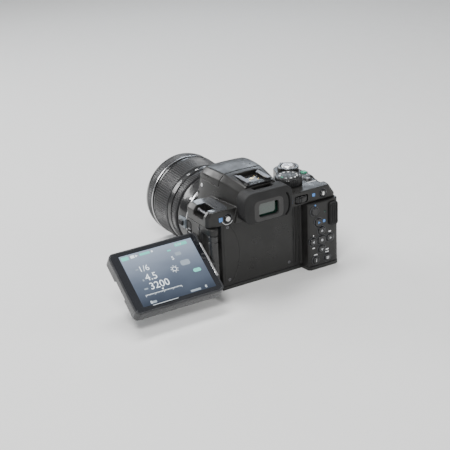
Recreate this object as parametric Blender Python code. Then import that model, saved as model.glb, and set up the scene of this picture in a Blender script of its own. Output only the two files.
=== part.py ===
"""A digital SLR camera with a swing-out screen and a standard zoom lens.

Frame: +X to the camera's right as its user holds it, +Y forward along the optical axis, +Z up.
The origin is on the base plane, below the optical axis, in the plane of the image sensor.
All the lengths below are in millimetres; MM turns them into metres.
"""

import math

import bmesh
import bpy
from mathutils import Matrix, Vector

MM = 0.001
GAP = 0.3  # between pieces that touch on the real camera

# Body
LEFT, RIGHT = -48.0, 75.0
AXIS_Z = 39.0  # height of the optical axis
SPLIT_Y = -2.0  # front and rear covers meet here
FRONT_Y = 24.0
GRIP_Y = 49.0
CONTROL_Y = -20.5  # rear face that carries the buttons
BAY_Y = -10.2  # floor of the screen bay
RELIEF_Y = -6.0  # deeper floor beside the screen hinge
WALL = 2.0
BASE_TOP = 3.0
COVER_TOP = 60.0
DECK_TOP = 72.0
SHOULDER_TOP = 73.0
HUMP_TOP = 93.0
FLASH_SPLIT_Y = 9.0
FLASH_SPLIT_Z = 83.0

# Screen
HINGE_X, HINGE_Y, HINGE_Z = -43.5, -15.5, 31.5
SCREEN_W, SCREEN_H, SCREEN_T = 78.0, 57.0, 9.6
SCREEN_EDGE = 5.5  # from the swing axis to the near edge of the panel
SCREEN_TILT = 55.0  # degrees that the screen faces up at rest
TILT_BARREL_R = 3.0

# Lens
MOUNT_Y = 45.5
ZOOM_Y0, ZOOM_Y1 = 73.0, 103.0
LENS_FRONT_Y = 118.0
LENS_R = 36.6
ROUND = 40  # sides of a large round piece
SMALL_ROUND = 20

# Controls
DIAL_X, DIAL_Y, DIAL_R = 42.0, 5.0, 11.5
SHUTTER_X, SHUTTER_Y = 60.0, 33.0
REAR_WHEEL = (40.0, -11.0, 62.6, 8.0, 5.2)  # x, y, lowest z, radius, thickness
FRONT_WHEEL = (62.0, 41.0, 62.0, 8.6, 5.2)
PAD_X, PAD_Z, PAD_STEP = 57.0, 26.0, 8.4
TOP_KEYS = [("green_button", 66.0, 18.0, 2.7), ("exposure_button", 60.0, 3.5, 3.3)]
EAR_LOW, EAR_HIGH = 9.7, 54.3
TRIPOD_Y = 13.0
BASE_SCREWS = [(-42, 16), (-42, -1), (40, -6), (40, 18), (-14, -4), (22, 20)]
RELEASE = (33.0, 20.0)  # lens release button: x, z

# Side doors: name, side, front and rear y, bottom and top z
UPPER_PORT = ("port_door_upper", LEFT, 12.0, 18.6, 40.0, 57.0)
LOWER_PORT = ("port_door_lower", LEFT, 2.5, 18.6, 7.0, 36.0)
CARD_DOOR = ("card_door", RIGHT, 1.5, 22.0, 10.0, 46.0)

BLACK = ((0.022, 0.022, 0.023), 0.45, 0.0)
FINISHES = {
    "body_black": BLACK,
    "rubber_black": ((0.016, 0.016, 0.017), 0.8, 0.0),
    "control_black": ((0.012, 0.012, 0.013), 0.3, 0.0),
    "metal": ((0.62, 0.62, 0.63), 0.25, 1.0),
    "dark_metal": ((0.12, 0.12, 0.13), 0.4, 0.9),
    "glass": ((0.05, 0.08, 0.07), 0.03, 0.0),
    "screen": ((0.05, 0.07, 0.11), 0.08, 0.0),
    "silver_button": ((0.75, 0.75, 0.76), 0.3, 0.6),
    "green": ((0.02, 0.35, 0.2), 0.4, 0.0),
    "board": ((0.02, 0.16, 0.07), 0.5, 0.0),
    "frame_metal": ((0.35, 0.35, 0.36), 0.4, 0.8),
}


def clear_scene():
    for obj in list(bpy.data.objects):
        bpy.data.objects.remove(obj)


def finish(name):
    """The Principled material of that name."""
    found = bpy.data.materials.get(name)
    if found:
        return found
    colour, roughness, metallic = FINISHES[name]
    made = bpy.data.materials.new(name)
    made.use_nodes = True
    shader = made.node_tree.nodes["Principled BSDF"]
    shader.inputs["Base Color"].default_value = (*colour, 1.0)
    shader.inputs["Roughness"].default_value = roughness
    shader.inputs["Metallic"].default_value = metallic
    return made


def place(name, shape, material, parent=None):
    """Turns a bmesh in millimetres into a named object in metres."""
    bmesh.ops.remove_doubles(shape, verts=shape.verts, dist=1e-4)
    bmesh.ops.recalc_face_normals(shape, faces=shape.faces)
    bmesh.ops.scale(shape, vec=(MM, MM, MM), verts=shape.verts)
    mesh = bpy.data.meshes.new(name)
    shape.to_mesh(mesh)
    shape.free()
    mesh.shade_smooth()
    mesh.set_sharp_from_angle(angle=math.radians(35))
    obj = bpy.data.objects.new(name, mesh)
    bpy.context.scene.collection.objects.link(obj)
    mesh.materials.append(finish(material))
    obj.parent = parent
    return obj


def helper(obj):
    """Marks obj as a cutter or a filler, which isn't a piece of the camera."""
    obj.hide_render = True
    obj.display_type = "WIRE"
    return obj


def combine(obj, others, operation="DIFFERENCE"):
    for other in others:
        modifier = obj.modifiers.new(operation.lower(), "BOOLEAN")
        modifier.operation = operation
        modifier.solver = "EXACT"
        modifier.object = helper(other)
    return obj


def bevel(obj, width, segments=2, angle=40):
    modifier = obj.modifiers.new("bevel", "BEVEL")
    modifier.width = width * MM
    modifier.segments = segments
    modifier.limit_method = "ANGLE"
    modifier.angle_limit = math.radians(angle)
    return obj


def to_axis(point, plane, height):
    a, b = point
    return {"XY": (a, b, height), "XZ": (a, height, b), "YZ": (height, a, b)}[plane]


def extruded(outline, plane, low, high):
    """A bmesh of the outline, drawn in plane and extruded along the third axis."""
    shape = bmesh.new()
    corners = [shape.verts.new(to_axis(p, plane, low)) for p in outline]
    face = shape.faces.new(corners)
    grown = bmesh.ops.extrude_face_region(shape, geom=[face])
    moved = [v for v in grown["geom"] if isinstance(v, bmesh.types.BMVert)]
    shift = Vector(to_axis((0, 0), plane, high - low))
    bmesh.ops.translate(shape, vec=shift, verts=moved)
    return shape


def prism(name, outline, plane, low, high, material, parent=None):
    return place(name, extruded(outline, plane, low, high), material, parent)


def box(name, low, high, material="body_black", parent=None):
    outline = [(low[0], low[1]), (high[0], low[1]), (high[0], high[1]), (low[0], high[1])]
    return prism(name, outline, "XY", low[2], high[2], material, parent)


def rounded(x0, z0, x1, z1, radius, steps=3):
    """The outline of a rectangle with round corners."""
    points = []
    for cx, cz, start in (
        (x1 - radius, z0 + radius, 270),
        (x1 - radius, z1 - radius, 0),
        (x0 + radius, z1 - radius, 90),
        (x0 + radius, z0 + radius, 180),
    ):
        for i in range(steps + 1):
            a = math.radians(start + 90 * i / steps)
            points.append((cx + radius * math.cos(a), cz + radius * math.sin(a)))
    return points


def turned(name, profile, centre, axis, material, steps=ROUND, closed=False, parent=None):
    """A lathe shape. The profile holds (radius, distance along axis) and is a loop if closed."""
    shape = bmesh.new()
    side, along = {
        "X": ((0, 1, 0), (1, 0, 0)),
        "Y": ((1, 0, 0), (0, 1, 0)),
        "Z": ((1, 0, 0), (0, 0, 1)),
    }[axis]
    centre, side, along = Vector(centre), Vector(side), Vector(along)
    points = [shape.verts.new(centre + side * r + along * s) for r, s in profile]
    edges = [shape.edges.new(pair) for pair in zip(points, points[1:])]
    if closed:
        edges.append(shape.edges.new((points[-1], points[0])))
    bmesh.ops.spin(
        shape, geom=points + edges, cent=centre, axis=along, angle=2 * math.pi, steps=steps,
        use_merge=True,
    )
    return place(name, shape, material, parent)


def disc(name, centre, axis, radius, length, material, steps=SMALL_ROUND, chamfer=0.0, parent=None):
    """A plain cylinder from centre along axis, with its far edge chamfered."""
    profile = [(0, 0), (radius, 0), (radius, length - chamfer), (radius - chamfer, length), (0, length)]
    if chamfer == 0:
        profile.pop(3)
    return turned(name, profile, centre, axis, material, steps, parent=parent)


def ring(name, centre, axis, inner, outer, low, high, material, steps=ROUND):
    profile = [(inner, low), (outer, low), (outer, high), (inner, high)]
    return turned(name, profile, centre, axis, material, steps, closed=True)


def lofted(name, sections, material, parent=None):
    """A closed skin over rings of points that all have the same count."""
    shape = bmesh.new()
    rings = [[shape.verts.new(p) for p in section] for section in sections]
    for here, there in zip(rings, rings[1:]):
        for i in range(len(here)):
            j = (i + 1) % len(here)
            shape.faces.new((here[i], here[j], there[j], there[i]))
    shape.faces.new(rings[0])
    shape.faces.new(rings[-1])
    bmesh.ops.triangulate(shape, faces=shape.faces)
    return place(name, shape, material, parent)


def offset_path(points, distance):
    """An open path moved to its left by distance, with mitred corners."""
    moved = []
    for i, point in enumerate(points):
        here = Vector(point)
        back = (here - Vector(points[i - 1])).normalized() if i else None
        ahead = (Vector(points[i + 1]) - here).normalized() if i + 1 < len(points) else None
        back, ahead = back or ahead, ahead or back
        normal = (Vector((-back.y, back.x)) + Vector((-ahead.y, ahead.x))).normalized()
        stretch = 1 / max(0.3, normal.dot(Vector((-ahead.y, ahead.x))))
        moved.append(tuple(here + normal * distance * stretch))
    return moved


def sheet_outline(path, inner, outer):
    """The outline of a wall that follows path between two offsets."""
    return offset_path(path, inner) + offset_path(path, outer)[::-1]


# The outside of the camera seen from above, clockwise from its left end: front, then rear
FRONT_PATH = [
    (LEFT, SPLIT_Y), (LEFT, 19), (-46, 22.5), (-42, FRONT_Y), (41, FRONT_Y), (45, 27), (48, 35),
    (51, 44), (55, 48), (60, GRIP_Y), (67, 47.5), (72, 42), (74.5, 34), (RIGHT, 26), (RIGHT, SPLIT_Y),
]
REAR_PATH = [
    (RIGHT, SPLIT_Y - GAP), (RIGHT, -16.5), (73.8, -19.4), (71, CONTROL_Y), (46.5, CONTROL_Y),
    (44.5, -18.5), (43.5, BAY_Y), (-33, BAY_Y), (-35, RELIEF_Y), (LEFT, RELIEF_Y), (LEFT, SPLIT_Y - GAP),
]


def covers():
    """The front, rear and bottom shells."""
    front = prism("front_cover", sheet_outline(FRONT_PATH, 0, -WALL), "XY", BASE_TOP + GAP, COVER_TOP, "body_black")
    boss = ring("mount_boss", (0, 0, AXIS_Z), "Y", 28.7, 33.5, 22.5, 44.2, "body_black")
    hole = disc("mount_hole", (0, 10, AXIS_Z), "Y", 28.7, 40, "body_black", ROUND)
    combine(front, [boss], "UNION")
    cutters = [hole]
    for door in (UPPER_PORT, LOWER_PORT, CARD_DOOR):
        cutters.append(door_cutter(door))
    cutters.append(disc("release_hole", (RELEASE[0], FRONT_Y - 6, RELEASE[1]), "Y", 3.6, 10, "body_black"))
    combine(front, cutters)

    rear = prism("rear_cover", sheet_outline(REAR_PATH, 0, -WALL), "XY", BASE_TOP + GAP, COVER_TOP, "body_black")
    combine(rear, [key_hole(x, z, r) for _, x, z, r in rear_keys()])
    roof_outline = [(74, -12), (74, -16.3), (73, -18.8), (70.8, -19.5), (46.9, -19.5), (45.4, -18.1), (44.9, -12)]
    control_roof = prism("control_roof", roof_outline, "XY", COVER_TOP - 2.2, COVER_TOP - 0.3, "body_black")
    combine(rear, hinge_ears() + [control_roof], "UNION")

    outline = FRONT_PATH + REAR_PATH[1:-1]
    base = prism("bottom_cover", outline, "XY", 0, BASE_TOP, "body_black")
    lids = [box("battery_mouth", (49.5, 4.0, -1), (71.0, 40.0, 6))]
    lids.append(disc("tripod_hole", (0, TRIPOD_Y, -1), "Z", 5.3, 8, "body_black"))
    lids += [disc("screw_hole", (x, y, -1), "Z", 2.4, 6, "body_black", 12) for x, y in BASE_SCREWS]
    combine(base, lids)


def hinge_ears():
    """The two lugs that carry the screen's swing arm between them."""
    lugs = []
    for place_name, low, high in (("lower", BASE_TOP + GAP, EAR_LOW), ("upper", EAR_HIGH, COVER_TOP)):
        outline = rounded(HINGE_X - 4.2, HINGE_Y - 4.2, HINGE_X + 4.2, HINGE_Y + 4.2, 3)
        lugs.append(prism(place_name + "_lug", outline, "XY", low, high, "body_black"))
        lugs.append(box(place_name + "_lug_web", (LEFT, HINGE_Y, low), (HINGE_X + 3, RELIEF_Y + 0.5, high)))
    return lugs


def door_cutter(door):
    name, side, y0, y1, z0, z1 = door
    low, high = sorted((side - 4 * math.copysign(1, side), side + 2 * math.copysign(1, side)))
    return box(name + "_opening", (low, y0, z0), (high, y1, z1))


def door(spec):
    """A thin lid in the side wall, flush with its outside, with a finger lip."""
    name, side, y0, y1, z0, z1 = spec
    outward = math.copysign(1, side)
    outline = rounded(y0 + GAP, z0 + GAP, y1 - GAP, z1 - GAP, 1.5, 2)
    low, high = sorted((side, side - 1.6 * outward))
    lid = prism(name, outline, "YZ", low, high, "rubber_black")
    return lid


def rear_keys():
    """Every round key on the rear face: name, x, z, radius."""
    return [
        ("ok_button", PAD_X, PAD_Z, 3.9),
        ("arrow_up", PAD_X, PAD_Z + PAD_STEP, 3.3),
        ("arrow_down", PAD_X, PAD_Z - PAD_STEP, 3.3),
        ("arrow_left", PAD_X - PAD_STEP, PAD_Z, 3.3),
        ("arrow_right", PAD_X + PAD_STEP, PAD_Z, 3.3),
        ("info_button", 51.0, 8.6, 3.0),
        ("menu_button", 62.5, 8.6, 3.0),
        ("play_button", 54.0, 42.5, 3.4),
        ("focus_lock_button", 50.5, 53.0, 3.3),
    ]


def key_hole(x, z, radius):
    return disc("key_hole", (x, CONTROL_Y - 2, z), "Y", radius + GAP, 8, "body_black")


def key(name, x, z, radius, face=CONTROL_Y, proud=1.3, material="control_black"):
    """A push key whose cap stands proud of the face behind it, with its collar inside."""
    shank = 4.2
    profile = [(0, shank), (radius, shank), (radius, -proud + 0.5), (radius - 0.5, -proud), (0, -proud)]
    return turned(name, profile, (x, face, z), "Y", material, SMALL_ROUND)


def controls_behind():
    for name, x, z, radius in rear_keys():
        key(name, x, z, radius)
    key("flash_button", -30.0, 65.5, 3.2, face=-16.0)
    key("raw_button", 61.0, 66.0, 3.0, face=-17.0, material="silver_button")
    outline = rounded(64.5, 37.0, 73.0, 58.0, 2.5)
    outline = [(x, z) for x, z in outline]
    prism("thumb_rest", outline, "XZ", CONTROL_Y - 2.0, CONTROL_Y - GAP, "rubber_black")


def hump_section(y, top, top_half, bottom_half, bottom):
    """One slice of the prism housing, from one foot over the top to the other."""
    chamfer = 3.5
    return [
        (-bottom_half, y, bottom), (bottom_half, y, bottom), (bottom_half - 1, y, bottom + (top - bottom) * 0.45),
        (top_half, y, top - chamfer), (top_half - chamfer, y, top),
        (-top_half + chamfer, y, top), (-top_half, y, top - chamfer),
        (-bottom_half + 1, y, bottom + (top - bottom) * 0.45),
    ]


# y, top, half width at the top, half width at the foot
HUMP = [
    (44.0, 86.0, 17.0, 22.0), (40.0, 90.5, 20.0, 26.5), (34.0, 92.2, 21.0, 28.0), (24.0, HUMP_TOP, 21.0, 28.5),
    (FLASH_SPLIT_Y, HUMP_TOP, 20.0, 28.0), (-5.0, 91.6, 18.0, 26.0), (-18.0, 89.4, 16.0, 24.0),
]


def hump_at(y):
    """top, top_half, bottom_half of the housing at y, between the slices given above."""
    for (ya, *a), (yb, *b) in zip(HUMP, HUMP[1:]):
        if yb <= y <= ya:
            t = (y - ya) / (yb - ya)
            return [p + (q - p) * t for p, q in zip(a, b)]
    raise ValueError(y)


def top_cover():
    """The top shell: prism housing, right deck, left shoulder, and all their openings."""
    seat = COVER_TOP + GAP
    rear_y = FLASH_SPLIT_Y - GAP
    slices = [hump_section(y, *hump_at(y), seat) for y in (rear_y, -5.0, -18.0)]
    cover = lofted("top_cover", slices, "body_black")
    low_front = [
        hump_section(y, FLASH_SPLIT_Z - GAP, hump_at(y)[1] + 2.5, hump_at(y)[2], seat)
        for y in (44.0, 40.0, 34.0, 24.0, rear_y - 2)
    ]
    low_front[0] = hump_section(43.6, FLASH_SPLIT_Z - 1.5, 18.5, hump_at(43.6)[2], seat + 4)
    front = lofted("hump_front", low_front, "body_black")
    deck_path = [
        (22, 26), (41, FRONT_Y), (45, 27), (48, 35), (51, 44), (55, 48), (60, GRIP_Y), (67, 47.5), (72, 42),
        (74.5, 34), (RIGHT, 26), (RIGHT, -12), (73, -16), (70, -17), (22, -17),
    ]
    deck_top = [(x - max(0, x - 66) * 0.75, y - max(0, y - 42) * 0.5) for x, y in deck_path]
    deck = lofted("right_deck", [
        [(x, y, seat) for x, y in deck_path],
        [(x, y, seat + 3) for x, y in deck_path],
        [(x, y, DECK_TOP) for x, y in deck_top],
    ], "body_black")
    shoulder_path = [(-20, 22), (-42, 22.5), (-46, 20.5), (LEFT, 17), (LEFT, -12), (-46, -15), (-43, -16), (-20, -16)]
    shoulder_top = [(max(x, -44.5), min(y, 17)) for x, y in shoulder_path]
    shoulder = lofted("left_shoulder", [
        [(x, y, seat) for x, y in shoulder_path],
        [(x, y, SHOULDER_TOP - 4) for x, y in shoulder_path],
        [(x, y, SHOULDER_TOP) for x, y in shoulder_top],
    ], "body_black")
    combine(cover, [front, deck, shoulder], "UNION")

    hollow = lofted("hump_hollow", [
        [(x * 0.84, y, max(seat - 3, z - 3.4)) for x, _, z in hump_section(y, top, half, foot, seat)]
        for y, top, half, foot in ((30.0, 81.0, 20.0, 26.0), (10.0, 81.0, 20.0, 26.0), (-14.0, 84.0, 17.0, 24.0))
    ], "body_black")
    cutters = [hollow]
    cutters.append(disc("mount_boss_room", (0, 22.2, AXIS_Z), "Y", 33.8, 30, "body_black", ROUND))
    cutters.append(box("deck_hollow", (27, -13, 50), (63.0, 21.5, DECK_TOP - 2.5)))
    cutters.append(box("grip_hollow", (54, 29, 50), (68, 43, 66)))
    cutters.append(box("shoulder_hollow", (-35, -12, 50), (-24, 16, SHOULDER_TOP - 2.5)))
    cutters.append(box("strap_slot_left", (-60, -9, 65.5), (-36.9, 7, 90)))
    cutters.append(box("strap_slot_right", (64.8, -8, 64.0), (90, 8, 90)))
    cutters.append(box("shoe_channel", (-11.8, -30, 87.6), (11.8, 3.5, 99)))
    cutters.append(box("flash_pocket", (-15, 30, 76.5), (15, 41.6, 90)))
    cutters.append(prism("eye_tunnel", rounded(-12.5, 63.5, 12.5, 78.5, 3), "XZ", -30, -8, "body_black"))
    wheel_x, wheel_y, wheel_z, radius, thick = REAR_WHEEL
    cutters.append(disc("rear_wheel_pocket", (wheel_x, wheel_y, wheel_z - 0.5), "Z", radius + 0.5, thick + 1, "body_black"))
    wheel_x, wheel_y, wheel_z, radius, thick = FRONT_WHEEL
    cutters.append(disc("front_wheel_slot", (wheel_x, wheel_y, wheel_z - 0.5), "Z", radius + 0.5, thick + 1, "body_black"))
    cutters.append(disc("dial_hole", (DIAL_X, DIAL_Y, 66), "Z", 4.0, 12, "body_black"))
    cutters.append(disc("shutter_hole", (SHUTTER_X, SHUTTER_Y, 64), "Z", 4.2, 14, "body_black"))
    cutters += [disc("top_key_hole", (x, y, 64), "Z", r + GAP, 14, "body_black") for _, x, y, r in TOP_KEYS]
    cutters.append(disc("flash_button_hole", (-30.0, -20, 65.5), "Y", 3.5, 10, "body_black"))
    cutters.append(disc("raw_button_hole", (61.0, -20, 66.0), "Y", 3.3, 10, "body_black"))
    cutters.append(box("diopter_slot", (-8, -24, 82.0), (8, -15.5, 85.4)))
    combine(cover, cutters)


def flash():
    """The flash head is the front of the housing's roof. Its hinge is along the rear top edge."""
    slices = []
    for y in (44.0, 40.0, 34.0, 24.0, FLASH_SPLIT_Y):
        top, top_half, _ = hump_at(y)
        foot = FLASH_SPLIT_Z if y < 44 else FLASH_SPLIT_Z - 1
        slices.append(hump_section(y, top, top_half, top_half + 1.5, foot))
    head = lofted("flash_head", slices, "body_black")
    lamp = prism("flash_window", rounded(-13, 78, 13, FLASH_SPLIT_Z - GAP, 1, 2), "XZ", 33, 38, "glass")
    return head, lamp


def deck_controls():
    rim = DIAL_R
    dial = turned("mode_dial", [
        (0, -3.5), (3.6, -3.5), (3.6, GAP), (rim, GAP), (rim, 6.2), (rim - 1.2, 7.4), (0, 7.4),
    ], (DIAL_X, DIAL_Y, DECK_TOP), "Z", "control_black", 36)
    lever = ring("power_lever", (SHUTTER_X, SHUTTER_Y, DECK_TOP), "Z", 6.4, 9.2, GAP, 3.2, "control_black", 32)
    tab = box("lever_tab", (SHUTTER_X - 1.6, SHUTTER_Y + 8.4, DECK_TOP + GAP), (SHUTTER_X + 1.6, SHUTTER_Y + 12, DECK_TOP + 2.6))
    combine(lever, [tab], "UNION")
    turned("shutter_button", [
        (0, -4), (3.8, -4), (3.8, 1.2), (6.0, 1.2), (6.0, 3.4), (4.6, 4.3), (0, 4.8),
    ], (SHUTTER_X, SHUTTER_Y, DECK_TOP), "Z", "silver_button", 28)
    for name, x, y, radius in TOP_KEYS:
        material = "green" if name == "green_button" else "control_black"
        disc(name, (x, y, DECK_TOP - 4), "Z", radius, 5.3, material, chamfer=0.5)
    for name, (x, y, z, radius, thick) in (("rear_wheel", REAR_WHEEL), ("front_wheel", FRONT_WHEEL)):
        turned(name, [
            (0, 0), (radius - 0.7, 0), (radius, 0.7), (radius, thick - 0.7), (radius - 0.7, thick), (0, thick),
        ], (x, y, z), "Z", "control_black", 28)
    return dial


def hot_shoe():
    """A folded steel channel for an accessory foot, with its contact plate."""
    floor, roof = 88.0, 92.0
    half, lip = 11.2, 7.2
    outline = [
        (-half, floor), (half, floor), (half, roof), (lip + 1.3, roof), (lip + 1.3, roof - 1),
        (half - 1, roof - 1), (half - 1, floor + 1), (-half + 1, floor + 1), (-half + 1, roof - 1),
        (-lip - 1.3, roof - 1), (-lip - 1.3, roof), (-half, roof),
    ]
    prism("hot_shoe", outline, "XZ", -17.0, 2.8, "dark_metal")


def eyepiece():
    cup = prism("eyecup", rounded(-22.5, 61.4, 22.5, 87.6, 7, 4), "XZ", -31.0, -18.3, "rubber_black")
    bevel(cup, 2.0, 2)
    window = prism("cup_window", rounded(-13, 62.8, 13, 79.4, 3.5), "XZ", -40, -10, "body_black")
    slot = box("cup_slider_relief", (-9, -24.0, 81.5), (9, -10, 95))
    combine(cup, [window, slot])
    lens = prism("eyepiece_lens", rounded(-12.2, 63.8, 12.2, 78.2, 2.8), "XZ", -16.5, -12, "glass")
    slider = prism("diopter_slider", rounded(-4.5, 82.3, 4.5, 85.1, 0.8, 2), "XZ", -20.6, -16.0, "control_black")
    return cup, lens, slider


def inner_parts():
    """What the shells hold: mirror box, shutter, sensor, prism, board, battery and card."""
    frame = box("mirror_box", (-20.5, 6.3, 20.0), (20.5, 37.8, 58.0), "frame_metal")
    light = box("mirror_box_light_path", (-18.5, 0, 22.0), (18.5, 45, 56.0))
    roof = box("mirror_box_roof_opening", (-16, 9, 50), (16, 32, 62))
    combine(frame, [light, roof])
    foot = box("mirror_box_foot", (-12, 6.4, BASE_TOP + 5), (12, 21, 20.5))
    combine(frame, [foot], "UNION")

    pivot = bpy.data.objects.new("mirror_pivot", None)
    bpy.context.scene.collection.objects.link(pivot)
    pivot.location = Vector((0, 9.4, 53.6)) * MM
    pivot.rotation_euler = (math.radians(-45), 0, 0)
    plate = box("main_mirror", (-17.0, 0, -0.9), (17.0, 27.0, 0.9), "metal", pivot)
    plate.data.materials[0] = finish("metal")

    shutter = box("shutter_unit", (-24, 1.6, 20), (24, 6.0, 58), "dark_metal")
    combine(shutter, [box("shutter_gate", (-12.5, 0, AXIS_Z - 8.5), (12.5, 10, AXIS_Z + 8.5))])
    box("image_sensor", (-15, -3.6, AXIS_Z - 11), (15, 0, AXIS_Z + 11), "glass")
    box("main_board", (-30, -6.4, 8), (40, -4.6, 56), "board")
    prism_path = [(-6, 61.5), (21, 61.5), (21, 68), (13, 77.5), (0, 77.5), (-6, 72)]
    prism("pentaprism", prism_path, "YZ", -13, 13, "glass")
    box("battery", (52.0, 7.0, 3.8), (69.5, 38.0, 46.0), "dark_metal")
    turned("tripod_socket", [(3.1, 0.4), (5.0, 0.4), (5.0, 7.6), (3.1, 7.6)],
           (0, TRIPOD_Y, 0), "Z", "metal", SMALL_ROUND, closed=True)
    turned("lens_mount_ring", [(22.6, 44.5), (31.5, 44.5), (31.5, 45.3), (22.6, 45.3)],
           (0, 0, AXIS_Z), "Y", "metal", ROUND, closed=True)
    box("battery_door", (49.8, 4.3, 0.2), (70.7, 39.7, 2.8), "body_black")


def strap_bars():
    """The two bars that a strap loops round."""
    for name, x, y, z in (("strap_bar_left", -43.0, -8.7, 69.0), ("strap_bar_right", 70.6, -7.7, 66.6)):
        disc(name, (x, y, z), "Y", 1.3, 15.4, "metal", 12)


def grip_skin():
    """A rubber sheet round the front of the grip."""
    path = [p for p in FRONT_PATH if p[0] > 44][:-1]
    path = [(45.6, 28.6)] + path[1:-1] + [(RIGHT, 24.5)]
    return prism("grip_skin", sheet_outline(path, GAP, 1.7), "XY", 6.0, 58.0, "rubber_black")


def lens():
    """The zoom lens: fixed base, focus ring, zoom ring, sliding barrel and its glass."""
    at = (0, 0, AXIS_Z)
    base = turned("lens_base", [
        (16.5, 38.3), (21.8, 38.3), (21.8, 45.8), (30.5, 45.8), (32.0, 48.0), (33.6, 60.0), (33.6, 64.0),
        (30.6, 64.0), (30.6, 100.0), (28.6, 100.0), (28.6, 56.0), (16.5, 48.0),
    ], at, "Y", "body_black", ROUND, closed=True)
    combine(base, [box("switch_plate", (-34.2, 48.8, AXIS_Z - 4.5), (-30.0, 59.7, AXIS_Z + 4.5))], "UNION")
    turned("focus_ring", [(30.9, 64.4), (34.4, 64.4), (35.0, 65.4), (35.0, 71.4), (34.4, 72.4), (30.9, 72.4)],
           at, "Y", "rubber_black", ROUND, closed=True)
    turned("zoom_ring", [(30.9, ZOOM_Y0), (35.4, ZOOM_Y0), (36.2, 75.0), (LENS_R, 100.0), (36.2, ZOOM_Y1), (30.9, ZOOM_Y1)],
           at, "Y", "rubber_black", ROUND, closed=True)
    turned("inner_barrel", [
        (26.2, 66.0), (28.3, 66.0), (28.3, ZOOM_Y1 + GAP), (36.9, ZOOM_Y1 + GAP), (36.9, 106.0), (36.4, 114.0),
        (35.6, LENS_FRONT_Y), (31.5, LENS_FRONT_Y), (31.5, 115.0), (29.0, 112.6), (26.2, 112.6),
    ], at, "Y", "body_black", ROUND, closed=True)
    turned("front_glass", [(0, 107.0), (25.9, 107.0), (25.9, 110.0), (18.0, 111.7), (9.0, 112.6), (0, 113.0)], at, "Y", "glass", ROUND)
    turned("rear_glass", [(0, 39.5), (9.0, 39.9), (16.2, 40.6), (16.2, 45.0), (0, 45.0)], at, "Y", "glass", 28)
    box("focus_switch", (-36.2, 51.5, AXIS_Z - 2.2), (-34.5, 57.0, AXIS_Z + 2.2), "control_black")
    disc("lens_release_button", (RELEASE[0], FRONT_Y - 4.5, RELEASE[1]), "Y", 3.3, 7.0, "control_black", chamfer=0.6)


def screen():
    """The swing arm on the body's left rear edge, and the screen that tilts on it, open as at rest."""
    barrel = disc("screen_arm", (HINGE_X, HINGE_Y, 10.0), "Z", 3.9, 44.0, "body_black")
    neck = disc("arm_neck", (HINGE_X - SCREEN_EDGE + 0.6, HINGE_Y, HINGE_Z), "X", 3.6, SCREEN_EDGE - 1, "body_black")
    combine(barrel, [neck], "UNION")

    hinge = bpy.data.objects.new("screen_tilt_axis", None)
    bpy.context.scene.collection.objects.link(hinge)
    hinge.location = Vector((HINGE_X, HINGE_Y, HINGE_Z)) * MM
    hinge.rotation_euler = (math.radians(-SCREEN_TILT), 0, 0)

    x1 = -SCREEN_EDGE
    x0 = x1 - SCREEN_W
    half_h, half_t = SCREEN_H / 2, SCREEN_T / 2
    shell = prism("screen_housing", rounded(x0, -half_h, x1, half_h, 4, 3), "XZ", -half_t + 1.5, half_t, "body_black", hinge)
    glass = prism("screen_glass", rounded(x0 + 0.6, -half_h + 0.6, x1 - 0.6, half_h - 0.6, 3.4, 3), "XZ", -half_t, -half_t + 1.2, "screen", hinge)
    socket = disc("tilt_socket", (x1 - 13.5, 0, 0), "X", TILT_BARREL_R + 0.6, 30, "body_black", parent=hinge)
    combine(shell, [socket])
    disc("tilt_shaft", (x1 - 12.6, 0, 0), "X", 2.5, 12.9, "metal", parent=hinge)
    turned("tilt_stop_ring", [(2.8, 0), (3.2, 0), (3.2, 5.0), (2.8, 5.0)], (x1 - 8, 0, 0), "X", "metal",
           SMALL_ROUND, closed=True, parent=hinge)
    return glass


def main():
    clear_scene()
    covers()
    top_cover()
    flash()
    deck_controls()
    hot_shoe()
    eyepiece()
    controls_behind()
    inner_parts()
    strap_bars()
    grip_skin()
    for spec in (UPPER_PORT, LOWER_PORT, CARD_DOOR):
        door(spec)
    lens()
    screen()


main()
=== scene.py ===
"""Detailed look of a reflex camera, built over its CAD frame.

Shapes are drawn in millimetres in the frame's axes (+X right, +Y along the lens, +Z up) and scaled once, in add().
"""

import math

import bmesh
import bpy
from mathutils import Matrix, Vector


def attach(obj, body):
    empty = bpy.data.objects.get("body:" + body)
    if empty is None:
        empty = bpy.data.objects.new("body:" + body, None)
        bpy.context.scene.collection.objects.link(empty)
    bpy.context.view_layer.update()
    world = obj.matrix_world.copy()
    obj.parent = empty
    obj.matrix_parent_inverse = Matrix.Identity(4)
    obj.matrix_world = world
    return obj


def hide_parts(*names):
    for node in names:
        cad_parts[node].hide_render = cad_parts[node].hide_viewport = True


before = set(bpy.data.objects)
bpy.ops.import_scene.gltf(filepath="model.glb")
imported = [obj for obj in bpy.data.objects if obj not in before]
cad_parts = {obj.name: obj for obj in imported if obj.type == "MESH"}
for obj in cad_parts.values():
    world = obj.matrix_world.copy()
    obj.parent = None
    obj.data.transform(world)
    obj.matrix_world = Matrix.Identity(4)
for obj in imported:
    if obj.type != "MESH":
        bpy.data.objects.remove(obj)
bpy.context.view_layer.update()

MM = 0.001
GAP = 0.3
BODY = "camera_body"

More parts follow.
